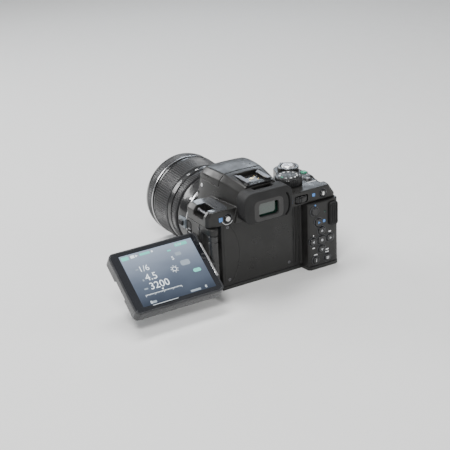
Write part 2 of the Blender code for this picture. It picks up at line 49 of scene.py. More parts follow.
# Body sizes, as in the CAD
LEFT, RIGHT = -48, 75
AXIS_Z = 39
SPLIT_Y = -2
FRONT_Y = 24
GRIP_Y = 49
CONTROL_Y = -20.5
BAY_Y = -10.2
RELIEF_Y = -6
WALL = 2
BASE_TOP = 3
COVER_TOP = 60
DECK_TOP = 72
SHOULDER_TOP = 73
HUMP_TOP = 93
FLASH_SPLIT_Y = 9
FLASH_SPLIT_Z = 83
HINGE = Vector((-43.5, -15.5, 31.5))
SCREEN_W, SCREEN_H, SCREEN_T = 78, 57, 9.6
SCREEN_EDGE = 5.5
SCREEN_TILT = 55
LENS_R = 36.6
SHUTTER = Vector((60, 33, DECK_TOP))
DIAL = Vector((42, 5, DECK_TOP))
DIAL_R = 11.5
REAR_WHEEL = (40, -11, 62.6, 8, 5.2)
FRONT_WHEEL = (62, 41, 62, 8.6, 5.2)
PAD_X, PAD_Z, PAD_STEP = 57, 26, 8.4
KEYS = [
    ("ok_button", PAD_X, PAD_Z, 3.9, CONTROL_Y),
    ("arrow_up", PAD_X, PAD_Z + PAD_STEP, 3.3, CONTROL_Y),
    ("arrow_down", PAD_X, PAD_Z - PAD_STEP, 3.3, CONTROL_Y),
    ("arrow_left", PAD_X - PAD_STEP, PAD_Z, 3.3, CONTROL_Y),
    ("arrow_right", PAD_X + PAD_STEP, PAD_Z, 3.3, CONTROL_Y),
    ("info_button", 51, 8.6, 3, CONTROL_Y),
    ("menu_button", 62.5, 8.6, 3, CONTROL_Y),
    ("play_button", 54, 42.5, 3.4, CONTROL_Y),
    ("focus_lock_button", 50.5, 53, 3.3, CONTROL_Y),
]
HIGH_KEYS = [("flash_button", -30, 65.5, 3.2, -16), ("raw_button", 61, 66, 3, -17)]
TOP_KEYS = [("green_button", 66, 18, 2.7), ("exposure_button", 60, 3.5, 3.3)]
PORTS = [
    ("port_door_upper", LEFT, 12, 18.6, 40, 57),
    ("port_door_lower", LEFT, 2.5, 18.6, 7, 36),
    ("card_door", RIGHT, 1.5, 22, 10, 46),
]
BASE_SCREWS = [(-42, 16), (-42, -1), (40, -6), (40, 18), (-14, -4), (22, 20)]
RELEASE = (33, 20)
TRIPOD_Y = 13
VOXEL = 0.42
RING_RIBS = 110
# The lit area's margins inside the panel: left, right, top, foot
LIT = (8, 6, 4.6, 5)


# ---- materials

def node(tree, kind, **values):
    """A shader node with its input values set by name."""
    made = tree.nodes.new("ShaderNode" + kind)
    fill(made, values)
    return made


def fill(shader, values):
    for name, value in values.items():
        shader.inputs[name.replace("_", " ")].default_value = value


def new_material(name):
    mat = bpy.data.materials.new(name)
    mat.use_nodes = True
    return mat, mat.node_tree, mat.node_tree.nodes["Principled BSDF"], mat.node_tree.links.new


def material(name, colour, rough, grain=0.3, depth=0.02, metal=0, vary=0.25, smudge=0.12, coat=0, kind="noise",
        edge_wear_and_highlight=0, emit=0):
    """A moulded, machined or rubber surface.

    grain is the size of its texture in mm and depth the height of its bumps. smudge moves the roughness over
    larger patches, vary does the same to the colour, and the edge term brightens raised edges, partly as wear
    and partly as a painted highlight.
    """
    mat, tree, shader, link = new_material(name)
    coords = node(tree, "TexCoord").outputs["Object"]
    patches = node(tree, "TexNoise", Scale=70, Detail=5)
    link(coords, patches.inputs["Vector"])

    scale = 1 / (grain * MM)
    if kind == "cells":
        fine = node(tree, "TexVoronoi", Scale=scale)
    elif kind == "brushed":
        fine = node(tree, "TexNoise", Scale=scale)
    else:
        fine = node(tree, "TexNoise", Scale=scale, Detail=3)
    height = fine.outputs["Distance" if kind == "cells" else "Fac"]
    fine_coords = coords
    if kind == "brushed":
        stretch = node(tree, "Mapping", Scale=(0.08, 1, 1))
        link(coords, stretch.inputs["Vector"])
        fine_coords = stretch.outputs["Vector"]
    link(fine_coords, fine.inputs["Vector"])

    tint = node(tree, "MixRGB", Color1=(*[c * (1 - vary) for c in colour], 1),
        Color2=(*[min(1, c * (1 + vary)) for c in colour], 1))
    link(patches.outputs["Fac"], tint.inputs["Fac"])
    result = tint.outputs["Color"]
    # Raised edges are lightened by pointiness: partly worn edges, partly a painted highlight along lit edges.
    if edge_wear_and_highlight:
        edge = node(tree, "MapRange", From_Min=0.54, From_Max=0.66, To_Max=edge_wear_and_highlight)
        link(node(tree, "NewGeometry").outputs["Pointiness"], edge.inputs["Value"])
        worn_and_lit_edge = node(tree, "MixRGB", Color2=(*[min(1, c * 4 + 0.05) for c in colour], 1))
        link(edge.outputs["Result"], worn_and_lit_edge.inputs["Fac"])
        link(result, worn_and_lit_edge.inputs["Color1"])
        result = worn_and_lit_edge.outputs["Color"]
    link(result, shader.inputs["Base Color"])

    shine = node(tree, "MapRange", From_Min=0.3, From_Max=0.7, To_Min=max(0.02, rough - smudge),
        To_Max=min(1, rough + smudge))
    link(patches.outputs["Fac"], shine.inputs["Value"])
    link(shine.outputs["Result"], shader.inputs["Roughness"])
    bump = node(tree, "Bump", Strength=0.6, Distance=depth * MM)
    link(height, bump.inputs["Height"])
    link(bump.outputs["Normal"], shader.inputs["Normal"])
    fill(shader, {"Metallic": metal, "Coat Weight": coat, "Specular IOR Level": 0.4})
    if emit:
        link(result, shader.inputs["Emission Color"])
        fill(shader, {"Emission Strength": emit})
    return mat


def glass_material(name, colour, rough=0.02, alpha=0.4, coat=1, level=0.8):
    """Coated glass: a dark tint under a sharp coat. An alpha below one makes it partly see-through."""
    mat = material(name, colour, rough, 4, 0.001, vary=0.3, smudge=0.012, coat=coat)
    fill(mat.node_tree.nodes["Principled BSDF"], {"Alpha": alpha, "Coat Roughness": 0.02,
        "Specular IOR Level": level})
    return mat


def display_material():
    """The lit picture area: a soft blue-grey light that fades downward."""
    mat, tree, shader, link = new_material("display_light")
    coords = node(tree, "TexCoord").outputs["Generated"]
    split = node(tree, "SeparateXYZ")
    link(coords, split.inputs["Vector"])
    ramp = node(tree, "ValToRGB")
    low, high = ramp.color_ramp.elements
    low.color = (0.02, 0.026, 0.038, 1)
    high.color = (0.17, 0.2, 0.25, 1)
    ramp.color_ramp.elements.new(0.45).color = (0.06, 0.074, 0.1, 1)
    blotch = node(tree, "TexNoise", Scale=2.5)
    link(coords, blotch.inputs["Vector"])
    mix = node(tree, "Math")
    mix.operation = "MULTIPLY_ADD"
    mix.inputs[1].default_value = 0.25
    link(blotch.outputs["Fac"], mix.inputs[0])
    link(split.outputs["Z"], mix.inputs[2])
    shift = node(tree, "Math")
    shift.operation = "SUBTRACT"
    shift.inputs[1].default_value = 0.12
    link(mix.outputs["Value"], shift.inputs[0])
    link(shift.outputs["Value"], ramp.inputs["Fac"])
    for target in ("Base Color", "Emission Color"):
        link(ramp.outputs["Color"], shader.inputs[target])
    fill(shader, {"Emission Strength": 1.1, "Roughness": 0.16, "Specular IOR Level": 0.3, "Coat Weight": 0.1})
    return mat


M = {
    "shell": material("shell_plastic", (0.0135, 0.0132, 0.0128), 0.4, 0.35, 0.035, edge_wear_and_highlight=0.35),
    "hump": material("hump_plastic", (0.014, 0.0136, 0.013), 0.34, 0.3, 0.02, edge_wear_and_highlight=0.3),
    "leather": material("grain_rubber", (0.011, 0.011, 0.0112), 0.6, 1.3, 0.22, kind="cells"),
    "rubber": material("soft_rubber", (0.0095, 0.0095, 0.0098), 0.66, 0.5, 0.04, vary=0.35),
    "ribs": material("ring_rubber", (0.022, 0.022, 0.023), 0.42, 0.6, 0.02, vary=0.3, edge_wear_and_highlight=0.6),
    "eye_rim": material("cushion_rim", (0.034, 0.033, 0.033), 0.5, 0.4, 0.02, edge_wear_and_highlight=0.2),
    "barrel": material("barrel_enamel", (0.014, 0.014, 0.0145), 0.26, 0.5, 0.01, coat=0.35),
    "matt": material("baffle_black", (0.006, 0.006, 0.006), 0.85, 0.5, 0.03),
    "control": material("control_plastic", (0.015, 0.015, 0.0155), 0.3, 0.6, 0.012, coat=0.2, edge_wear_and_highlight=0.3),
    "bezel": material("bezel_plastic", (0.034, 0.035, 0.038), 0.28, 0.35, 0.02, edge_wear_and_highlight=0.35),
    "steel": material("brushed_steel", (0.62, 0.62, 0.63), 0.24, 0.2, 0.01, 1, vary=0.1,
                      kind="brushed"),
    "satin": material("satin_silver", (0.72, 0.72, 0.73), 0.3, 0.3, 0.01, 0.85, vary=0.1),
    "dark_steel": material("dark_steel", (0.16, 0.16, 0.17), 0.36, 0.3, 0.015, 0.95, kind="brushed"),
    "shoulder": material("shoulder_sheen", (0.03, 0.032, 0.036), 0.24, 0.4, 0.012, coat=0.3),
    # The switch plate's light blue-grey colour is a painted reflection on a glossy black plate.
    "plate": material("switch_plate", (0.12, 0.14, 0.16), 0.35, 0.4, 0.01, coat=0.2),
    "green": material("green_key", (0.01, 0.22, 0.12), 0.35, 0.4, 0.01, coat=0.3),
    "green_ink": material("green_ink", (0.02, 0.42, 0.22), 0.5, 0.3, 0.004, vary=0.15),
    "white_ink": material("white_ink", (0.74, 0.75, 0.76), 0.5, 0.3, 0.004, vary=0.08),
    "blue_ink": material("blue_ink", (0.1, 0.26, 0.62), 0.5, 0.3, 0.004, vary=0.15),
    "silver_ink": material("silver_ink", (0.45, 0.46, 0.48), 0.4, 0.3, 0.004, 0.4, vary=0.1),
    # Pale key colour: the raw key's own inlay, and a painted highlight on the flash key's dome.
    "pale_key_and_highlight": material("pale_key_and_painted_highlight", (0.8, 0.8, 0.79), 0.28, 0.4, 0.006, vary=0.05, coat=0.4),
    "gold": material("contact_gold", (0.8, 0.6, 0.28), 0.25, 0.3, 0.006, 1, vary=0.1),
    "board": material("circuit_board", (0.02, 0.15, 0.07), 0.45, 0.8, 0.03, kind="cells"),
    "alloy": material("cast_alloy", (0.34, 0.34, 0.35), 0.45, 0.5, 0.05, 0.9),
    "lens_glass": glass_material("coated_glass", (0.004, 0.008, 0.016), 0.02, 1, 0.2, 0.25),
    "inner_glass": glass_material("inner_coating", (0.016, 0.006, 0.028), 0.04, 1),
    "eye_glass": glass_material("eyepiece_glass", (0.006, 0.045, 0.028), 0.03, 0.55),
    "eye_coat": glass_material("eyepiece_coat", (0.003, 0.022, 0.014), 0.04, 1),
    "cover_glass": glass_material("display_glass", (0.012, 0.013, 0.016), 0.05, 1),
    "lamp": glass_material("lamp_glass", (0.55, 0.56, 0.58), 0.2, 0.8),
    "icon": material("icon_light", (0.62, 0.68, 0.72), 0.5, 0.4, 0.002, vary=0.03, emit=0.75),
    "teal_icon": material("teal_light", (0.1, 0.42, 0.36), 0.5, 0.4, 0.002, vary=0.1, emit=0.8),
    "dim_icon": material("dim_light", (0.2, 0.24, 0.28), 0.5, 0.4, 0.002, vary=0.1, emit=0.6),
    "display": display_material(),
    # Near-black painted shade, set into holes and behind port doors where shade falls.
    "painted_shade": material("recess_painted_shade", (0.003, 0.003, 0.003), 0.6, 0.5, 0.01),
}


# ---- shapes, in millimetres

def spot(point, plane, height):
    a, b = point
    return {"XY": (a, b, height), "XZ": (a, height, b), "YZ": (height, a, b)}[plane]


def extruded(outline, plane, low, high):
    shape = bmesh.new()
    face = shape.faces.new([shape.verts.new(spot(p, plane, low)) for p in outline])
    grown = bmesh.ops.extrude_face_region(shape, geom=[face])
    moved = [v for v in grown["geom"] if isinstance(v, bmesh.types.BMVert)]
    bmesh.ops.translate(shape, vec=Vector(spot((0, 0), plane, high - low)), verts=moved)
    bmesh.ops.recalc_face_normals(shape, faces=shape.faces)
    return shape


def block(low, high):
    outline = [(low[0], low[1]), (high[0], low[1]), (high[0], high[1]), (low[0], high[1])]
    return extruded(outline, "XY", low[2], high[2])


def polar(x, z, radius, angle, squash=1):
    """A point on a circle, by its angle in degrees. squash flattens it in the second direction."""
    return (x + radius * math.cos(math.radians(angle)), z + radius * squash * math.sin(math.radians(angle)))


def rounded(x0, z0, x1, z1, radius, steps=8):
    points = []
    for cx, cz, start in ((x1 - radius, z0 + radius, 270), (x1 - radius, z1 - radius, 0),
            (x0 + radius, z1 - radius, 90), (x0 + radius, z0 + radius, 180)):
        for i in range(steps + 1):
            points.append(polar(cx, cz, radius, start + 90 * i / steps))
    return points


def slab(plane, low, high, *corners):
    """A plate with rounded corners: corners are x0, z0, x1, z1, the radius and its steps."""
    return extruded(rounded(*corners), plane, low, high)


def circle(x, z, radius, steps=32):
    return [polar(x, z, radius, 360 * i / steps) for i in range(steps)]


FRAMES = {
    "X": (Vector((0, 1, 0)), Vector((0, 0, 1)), Vector((1, 0, 0))),
    "Y": (Vector((1, 0, 0)), Vector((0, 0, 1)), Vector((0, 1, 0))),
    "Z": (Vector((1, 0, 0)), Vector((0, 1, 0)), Vector((0, 0, 1))),
}


def lathe(profile, centre, axis, steps=96, closed=False, ribs=0, rib_rows=(), rib_depth=0.5, duty=2):
    """A turned shape. With ribs, the profile rows named in rib_rows are cut in by rib_depth between the ribs."""
    side, up, along = FRAMES[axis]
    centre = Vector(centre)
    columns = ribs * 4 if ribs else steps
    shape = bmesh.new()
    grid = []
    for i in range(columns):
        a = math.tau * i / columns
        direction = side * math.cos(a) + up * math.sin(a)
        groove = ribs and i % 4 >= duty
        column = []
        for row, (radius, distance) in enumerate(profile):
            if groove and row in rib_rows:
                radius -= rib_depth
            column.append(shape.verts.new(centre + direction * radius + along * distance))
        grid.append(column)
    rows = len(profile) if closed else len(profile) - 1
    for i in range(columns):
        here, there = grid[i], grid[(i + 1) % columns]
        for row in range(rows):
            nxt = (row + 1) % len(profile)
            shape.faces.new((here[row], here[nxt], there[nxt], there[row]))
    bmesh.ops.remove_doubles(shape, verts=shape.verts, dist=1e-4)
    bmesh.ops.dissolve_degenerate(shape, edges=shape.edges, dist=1e-5)
    bmesh.ops.recalc_face_normals(shape, faces=shape.faces)
    return shape


def rod(centre, axis, radius, length, steps=32, edge=0):
    profile = [(0, 0), (radius, 0), (radius, length - edge), (radius - edge, length), (0, length)]
    if not edge:
        profile.pop(3)
    return lathe(profile, centre, axis, steps)


def lofted(sections):
    shape = bmesh.new()
    rings = [[shape.verts.new(p) for p in section] for section in sections]
    for here, there in zip(rings, rings[1:]):
        for i in range(len(here)):
            j = (i + 1) % len(here)
            shape.faces.new((here[i], here[j], there[j], there[i]))
    shape.faces.new(rings[0])
    shape.faces.new(rings[-1])
    bmesh.ops.triangulate(shape, faces=shape.faces)
    bmesh.ops.recalc_face_normals(shape, faces=shape.faces)
    return shape


def to_mesh(shape, name):
    mesh = bpy.data.meshes.new(name)
    shape.to_mesh(mesh)
    shape.free()
    return mesh


def link_object(name, data):
    obj = bpy.data.objects.new(name, data)
    bpy.context.scene.collection.objects.link(obj)
    return obj


def evaluated(obj):
    return bpy.data.meshes.new_from_object(obj.evaluated_get(bpy.context.evaluated_depsgraph_get()))


def joined(*shapes):
    """Several shapes as one, without merging them."""
    whole = bmesh.new()
    for shape in shapes:
        mesh = to_mesh(shape, "part")
        whole.from_mesh(mesh)
        bpy.data.meshes.remove(mesh)
    return whole


def turned(degrees, axis):
    return Matrix.Rotation(math.radians(degrees), 4, axis)


def moved(shape, matrix):
    shape.transform(matrix)
    return shape


def offset_path(points, distance):
    result = []
    for i, point in enumerate(points):
        here = Vector(point)
        back = (here - Vector(points[i - 1])).normalized() if i else None
        ahead = (Vector(points[i + 1]) - here).normalized() if i + 1 < len(points) else None
        back, ahead = back or ahead, ahead or back
        normal = (Vector((-back.y, back.x)) + Vector((-ahead.y, ahead.x))).normalized()
        stretch = 1 / max(0.3, normal.dot(Vector((-ahead.y, ahead.x))))
        result.append(tuple(here + normal * distance * stretch))
    return result


def wall(path, inner, outer):
    return offset_path(path, inner) + offset_path(path, outer)[::-1]


def eased(points, times=2, share=0.25, loop=False):
    """A path with its corners cut again and again, so that they become curves. An open one keeps its ends."""
    for _ in range(times):
        result = []
        for a, b in zip(points, points[1:] + points[:1] if loop else points[1:]):
            a, b = Vector(a), Vector(b)
            result += [tuple(a.lerp(b, share)), tuple(a.lerp(b, 1 - share))]
        points = result if loop else [points[0], *result, points[-1]]
    return points


def combine(base, operation, tools):
    for tool in tools:
        modifier = base.modifiers.new(operation, "BOOLEAN")
        modifier.operation = operation
        modifier.solver = "MANIFOLD"
        modifier.object = tool


def temp(shape):
    return link_object("temp", to_mesh(shape, "temp"))


def discard(objects):
    for obj in objects:
        old = obj.data
        bpy.data.objects.remove(obj)
        bpy.data.meshes.remove(old)


def cut(shape, tools, operation="DIFFERENCE"):
    """A Boolean of closed shapes in millimetres, as a mesh."""
    base, *tools = [temp(part) for part in (shape, *tools)]
    combine(base, operation, tools)
    mesh = evaluated(base)
    discard([base, *tools])
    return mesh


def moulded(solids, cuts=(), voxel=VOXEL, smooth=4, keep=0.35):
    """Solids merged, cut, and rounded over as moulded plastic is. Returns a mesh in millimetres."""
    base, *others = [temp(s) for s in solids]
    cutters = [temp(c) for c in cuts]
    combine(base, "UNION", others)
    combine(base, "DIFFERENCE", cutters)
    remesh = base.modifiers.new("remesh", "REMESH")
    remesh.mode = "VOXEL"
    remesh.voxel_size = voxel
    relax = base.modifiers.new("relax", "SMOOTH")
    relax.iterations = smooth
    relax.factor = 0.5
    thin = base.modifiers.new("thin", "DECIMATE")
    thin.ratio = keep
    mesh = evaluated(base)
    discard([base, *others, *cutters])
    return mesh


def add(name, shape, look, body=BODY, nodes=(), slot=None, sharp=35, bevel=0, segments=2, matrix=None):
    """Makes a piece from a bmesh or mesh in millimetres, ties it to its body and hides the CAD nodes it stands for.
    """
    if isinstance(shape, bmesh.types.BMesh):
        mesh = to_mesh(shape, name)
    else:
        mesh = shape
        mesh.name = name
    if matrix is not None:
        mesh.transform(matrix)
    mesh.transform(Matrix.Scale(MM, 4))
    mesh.shade_smooth()
    if sharp:
        mesh.set_sharp_from_angle(angle=math.radians(sharp))
    mesh.materials.clear()
    mesh.materials.append(M[look])
    obj = link_object(name, mesh)
    if bevel:
        modifier = obj.modifiers.new("edge", "BEVEL")
        modifier.width = bevel * MM
        modifier.segments = segments
        modifier.limit_method = "ANGLE"
        modifier.angle_limit = math.radians(30)
    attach(obj, body)
    if nodes:
        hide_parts(*nodes)
    return obj


def repaint(node_name, look):
    """A CAD node whose shape stays gets its finished material."""
    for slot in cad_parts[node_name].material_slots:
        slot.material = M[look]


def lettering(text, size, thick=0.06):
    """Generic figures as a mesh in the XY plane, centred, in millimetres."""
    curve = bpy.data.curves.new("figures", "FONT")
    curve.body = text
    curve.size = size
    curve.extrude = thick
    curve.align_x = "CENTER"
    curve.align_y = "CENTER"
    curve.resolution_u = 4
    obj = link_object("figures", curve)
    mesh = evaluated(obj)
    bpy.data.objects.remove(obj)
    shape = bmesh.new()
    shape.from_mesh(mesh)
    bpy.data.meshes.remove(mesh)
    return shape


# ---- shells

# Outlines seen from above; the grip's part is shared
GRIP_PATH = [(45, 27), (48, 35), (51, 44), (55, 48), (60, GRIP_Y), (67, 47.5), (72, 42), (74.5, 34)]
FRONT_PATH = [(LEFT, SPLIT_Y), (LEFT, 19), (-46, 22.5), (-42, FRONT_Y), (41, FRONT_Y), *GRIP_PATH, (RIGHT, 26),
    (RIGHT, SPLIT_Y)]
REAR_PATH = [(RIGHT, SPLIT_Y - GAP), (RIGHT, -16.5), (73.8, -19.4), (71, CONTROL_Y), (46.5, CONTROL_Y), (44.5, -18.5),
    (43.5, BAY_Y), (-33, BAY_Y), (-35, RELIEF_Y), (LEFT, RELIEF_Y), (LEFT, SPLIT_Y - GAP)]
DECK_PATH = [(22, 26), (41, FRONT_Y), *GRIP_PATH, (RIGHT, 26), (RIGHT, -12), (73, -16), (70, -17), (22, -17)]
SHOULDER_PATH = [(-20, 22), (-42, 22.5), (-46, 20.5), (LEFT, 17), (LEFT, -12), (-46, -15), (-43, -16), (-20, -16)]


def key_holes(keys, depth=8):
    return [rod((x, face - 2, z), "Y", radius + 0.45, depth, 32) for _, x, z, radius, face in keys]


def front_path():
    """The front outline with the grip's corners eased."""
    return FRONT_PATH[:5] + eased(FRONT_PATH[4:13], 3)[1:-1] + FRONT_PATH[12:]


def level(outline, z):
    return [(x, y, z) for x, y in outline]


def front_shell():
    path = front_path()
    solids = [extruded(wall(path, 0, -WALL), "XY", BASE_TOP + GAP, COVER_TOP)]
    boss = [(28.7, 22.5), (33.5, 22.5), (33.5, 42.8), (32.3, 44.2), (28.7, 44.2)]
    solids.append(lathe(boss, (0, 0, AXIS_Z), "Y", 128, closed=True))
    cuts = [rod((0, 10, AXIS_Z), "Y", 28.7, 40, 128)]
    for _, side, y0, y1, z0, z1 in PORTS:
        out = math.copysign(1, side)
        low, high = sorted((side - 4 * out, side + 2 * out))
        cuts.append(slab("YZ", low, high, y0 - 0.1, z0 - 0.1, y1 + 0.1, z1 + 0.1, 1.6))
    cuts.append(rod((RELEASE[0], FRONT_Y - 6, RELEASE[1]), "Y", 3.8, 10, 32))
    mesh = moulded(solids, cuts, 0.5, 5, 0.3)
    add("front_shell", mesh, "shell", nodes=["front_cover"], sharp=0)

    corner = eased([(-47.8, 19.4), (-46, 22.5), (-42, FRONT_Y), (-34.9, FRONT_Y)], 2)
    add("corner_leather", extruded(wall(corner, -0.3, 0.3), "XY", 6, 57), "leather", bevel=0.2)


def rear_shell():
    path = REAR_PATH[:1] + eased(REAR_PATH[1:6], 2)[1:-1] + REAR_PATH[5:]
    solids = [extruded(wall(path, 0, -WALL), "XY", BASE_TOP + GAP, COVER_TOP)]
    x, y, _ = HINGE
    for low, high in ((BASE_TOP + GAP, 9.7), (54.3, COVER_TOP)):
        solids.append(extruded(circle(x, y, 4.2, 40), "XY", low, high))
        solids.append(block((LEFT, y, low), (x + 3, RELIEF_Y + 0.5, high)))
    roof = [(74, -12), (74, -16.3), (73, -18.8), (70.8, -19.5), (46.9, -19.5), (45.4, -18.1), (44.9, -12)]
    solids.append(extruded(roof, "XY", COVER_TOP - 2.2, COVER_TOP - 0.1))
    cuts = key_holes(KEYS)
    cuts += [block((35.9 + 1.5 * i, BAY_Y - 1, 5), (36.8 + 1.5 * i, BAY_Y + 1, 58)) for i in range(5)]
    mesh = moulded(solids, cuts)
    add("rear_shell", mesh, "shell", nodes=["rear_cover"], sharp=0)
    bay_details()


def bay_details():
    """The floor of the screen bay: a raised panel, a long arc and four screws."""
    arc = [polar(-58, 31, 42, -38 + 76 * i / 40) for i in range(41)]
    inner = [(x - 1.1, z) for x, z in arc][::-1]
    add("bay_arc", extruded(arc + inner, "XZ", BAY_Y - 0.32, BAY_Y + 0.2), "shell", bevel=0.15)
    floor = slab("XZ", BAY_Y - 0.16, BAY_Y + 0.2, -31, 5.2, 34.5, 58.2, 2.5)
    add("bay_panel", floor, "hump", bevel=0.12)
    for i, (x, z) in enumerate(((-27, 8.5), (31, 8.5), (-27, 55), (31, 55))):
        screw(f"bay_screw_{i}", (x, BAY_Y + 0.16, z), "Y", 1.4, -1)


def screw(name, at, axis, radius, sign, body=BODY, base=Matrix.Identity(4)):
    """A cross-head screw whose head faces along the axis, by sign."""
    head = lathe([(0, 0.3), (radius, 0.3), (radius, -0.25), (radius * 0.8, -0.42), (0, -0.45)], (0, 0, 0), "Y", 28)
    arms = [block((-radius * 0.62, -1, -0.16), (radius * 0.62, 0.1, 0.16)),
        block((-0.16, -1, -radius * 0.62), (0.16, 0.1, radius * 0.62))]
    turn = {"Y": Matrix.Identity(4), "Z": turned(90, "X"), "X": turned(-90, "Z")}[axis]
    if sign > 0:
        turn = turn @ Matrix.Rotation(math.pi, 4, "X")
    add(name, cut(head, arms), "dark_steel", body, matrix=base @ Matrix.Translation(at) @ turn)


def bottom_plate():
    outline = front_path() + REAR_PATH[1:-1]
    cuts = [block((49.5, 4, -1), (71, 40, 6)), rod((0, TRIPOD_Y, -1), "Z", 5.3, 8)]
    cuts += [rod((x, y, -1), "Z", 2.4, 2.2, 20) for x, y in BASE_SCREWS]
    plate = extruded(outline, "XY", 0, BASE_TOP)
    mesh = cut(plate, cuts)
    add("bottom_plate", mesh, "shell", nodes=["bottom_cover"], bevel=0.35)
    for i, (x, y) in enumerate(BASE_SCREWS):
        screw(f"base_screw_{i}", (x, y, 1), "Z", 2, -1)
    thread = []
    for i in range(7):
        thread += [(3.1, 0.4 + i), (3.5, 0.65 + i), (3.5, 0.75 + i)]
    thread += [(3.1, 7.6), (5, 7.6), (5, 0.8), (4.6, 0.4)]
    add("tripod_bush", lathe(thread, (0, TRIPOD_Y, 0), "Z", 64, closed=True), "steel", nodes=["tripod_socket"])
    pads = [slab("XY", 0.02, 0.4, x - 5, y - 2, x + 5, y + 2, 1.8) for x, y in ((-30, 18), (-30, -3))]
    lid = cut(slab("XY", 0.2, 2.8, 49.8, 4.3, 70.7, 39.7, 1.6), [slab("XY", -1, 0.9, 53, 33, 67, 37.5, 2)])
    add("battery_lid", lid, "shell", "battery_door", ["battery_door"], bevel=0.25)
    latch = joined(*[block((54.5 + 1.5 * i, 33.8, 0.3), (55.2 + 1.5 * i, 36.7, 1)) for i in range(8)])
    add("battery_latch", latch, "control", "battery_door", bevel=0.12)
    add("base_grip_pads", joined(*pads), "rubber", bevel=0.1)


def hump_ring(y, top, top_half, foot_half):
    """One slice of the prism housing: straight flanks, a bevel strip along each edge and a crowned roof."""
    half = [(foot_half, COVER_TOP + GAP), (top_half + 1.9, top - 6), (top_half + 1.4, top - 5),
        (top_half - 2.2, top - 1.15), (top_half - 3.2, top - 0.65), (top_half * 0.5, top - 0.15)]
    loop = half + [(0, top)] + [(-x, z) for x, z in half[::-1]]
    return [(x, y, z) for x, z in loop]


HUMP = [(44, 86, 17, 22), (40, 90.5, 20, 26.5), (34, 92.2, 21, 28), (24, HUMP_TOP, 21, 28.5),
    (FLASH_SPLIT_Y, HUMP_TOP, 20, 28), (-5, 91.6, 18, 26), (-18, 89.4, 16, 24)]


def hump_at(y):
    """Roof height, roof half width and foot half width at y, along a curve through the slices."""
    for i, ((ya, *a), (yb, *b)) in enumerate(zip(HUMP, HUMP[1:])):
        if yb <= y <= ya:
            t = (y - ya) / (yb - ya)
            before = HUMP[max(0, i - 1)]
            after = HUMP[min(len(HUMP) - 1, i + 2)]
            result = []
            for k, (p, q) in enumerate(zip(a, b)):
                into = (q - before[k + 1]) / (yb - before[0]) * (yb - ya)
                out = (after[k + 1] - p) / (after[0] - ya) * (yb - ya)
                result.append(p * (1 + 2 * t) * (1 - t) ** 2 + q * t * t * (3 - 2 * t) + into * t * (1 - t) ** 2 - out
                    * t * t * (1 - t))
            return result
    raise ValueError(y)


def hump():
    """The whole housing, before its front roof is parted off as the flash head."""
    return lofted([hump_ring(y, *hump_at(y)) for y in slices(44, -18, 40)])


def slices(y0, y1, count):
    return [y0 + (y1 - y0) * i / (count - 1) for i in range(count)]


def top_shell():
    seat = COVER_TOP + GAP
    solids = [hump()]
    deck = DECK_PATH[:2] + eased(DECK_PATH[1:11], 3)[1:-1] + DECK_PATH[10:]
    deck_top = [(x - max(0, x - 66) * 0.75, y - max(0, y - 42) * 0.5) for x, y in deck]
    solids.append(lofted([level(deck, seat), level(deck, seat + 3), level(deck_top, DECK_TOP)]))
    shoulder_top = [(max(x, -44.5), min(y, 17)) for x, y in SHOULDER_PATH]
    solids.append(lofted([level(SHOULDER_PATH, seat), level(SHOULDER_PATH, SHOULDER_TOP - 4),
        level(shoulder_top, SHOULDER_TOP)]))
    hollow = lofted([[(-21.5, y, 57), (21.5, y, 57), (21.5, y, 62), (16, y, roof), (-16, y, roof), (-21.5, y, 62)]
        for y, roof in ((30, 78.5), (10, 78.5), (-14, 81))])
    parting = FLASH_SPLIT_Z - GAP
    cuts = [hollow, block((-40, FLASH_SPLIT_Y - GAP, parting), (40, 60, 110)),
        rod((0, 22.2, AXIS_Z), "Y", 33.8, 30, 128), block((27, -13, 50), (63, 21.5, DECK_TOP - 2.5)),
        block((54, 29, 50), (68, 43, 66)), block((-35, -12, 50), (-24, 16, SHOULDER_TOP - 2.5)),
        block((-60, -9, 65.5), (-36.9, 7, 90)), block((64.8, -8, 64), (90, 8, 90)),
        slab("XY", 87.6, 99, -11.8, -30, 11.8, 3.5, 1.2), block((-15, 30, 76.5), (15, 41.6, 90)),
        slab("XZ", -30, -8, -12.6, 63.4, 12.6, 78.6, 3), rod((DIAL.x, DIAL.y, 66), "Z", 4, 12),
        rod((SHUTTER.x, SHUTTER.y, 64), "Z", 4.2, 14), block((-8, -24, 82), (8, -15.5, 85.4))]
    for x, y, z, radius, thick in (REAR_WHEEL, FRONT_WHEEL):
        cuts.append(rod((x, y, z - 0.5), "Z", radius + 0.6, thick + 1, 48))
    cuts += [rod((x, y, 64), "Z", radius + 0.4, 14) for _, x, y, radius in TOP_KEYS]
    cuts += key_holes(HIGH_KEYS, 10)
    mesh = moulded(solids, cuts)
    add("top_shell", mesh, "hump", nodes=["top_cover"], sharp=0)
    hump_details()


def flank_point(y, z):
    """A point on the housing's left flank, with the turn that lays a piece drawn along -Y flat on it."""
    top, top_half, foot_half = hump_at(y)
    seat = COVER_TOP + GAP
    slope = (foot_half - top_half - 1.9) / (top - 6 - seat)
    return Matrix.Translation((-foot_half + slope * (z - seat), y, z)) @ turned(-90,
        "Z") @ Matrix.Rotation(-math.atan(slope), 4, "X")


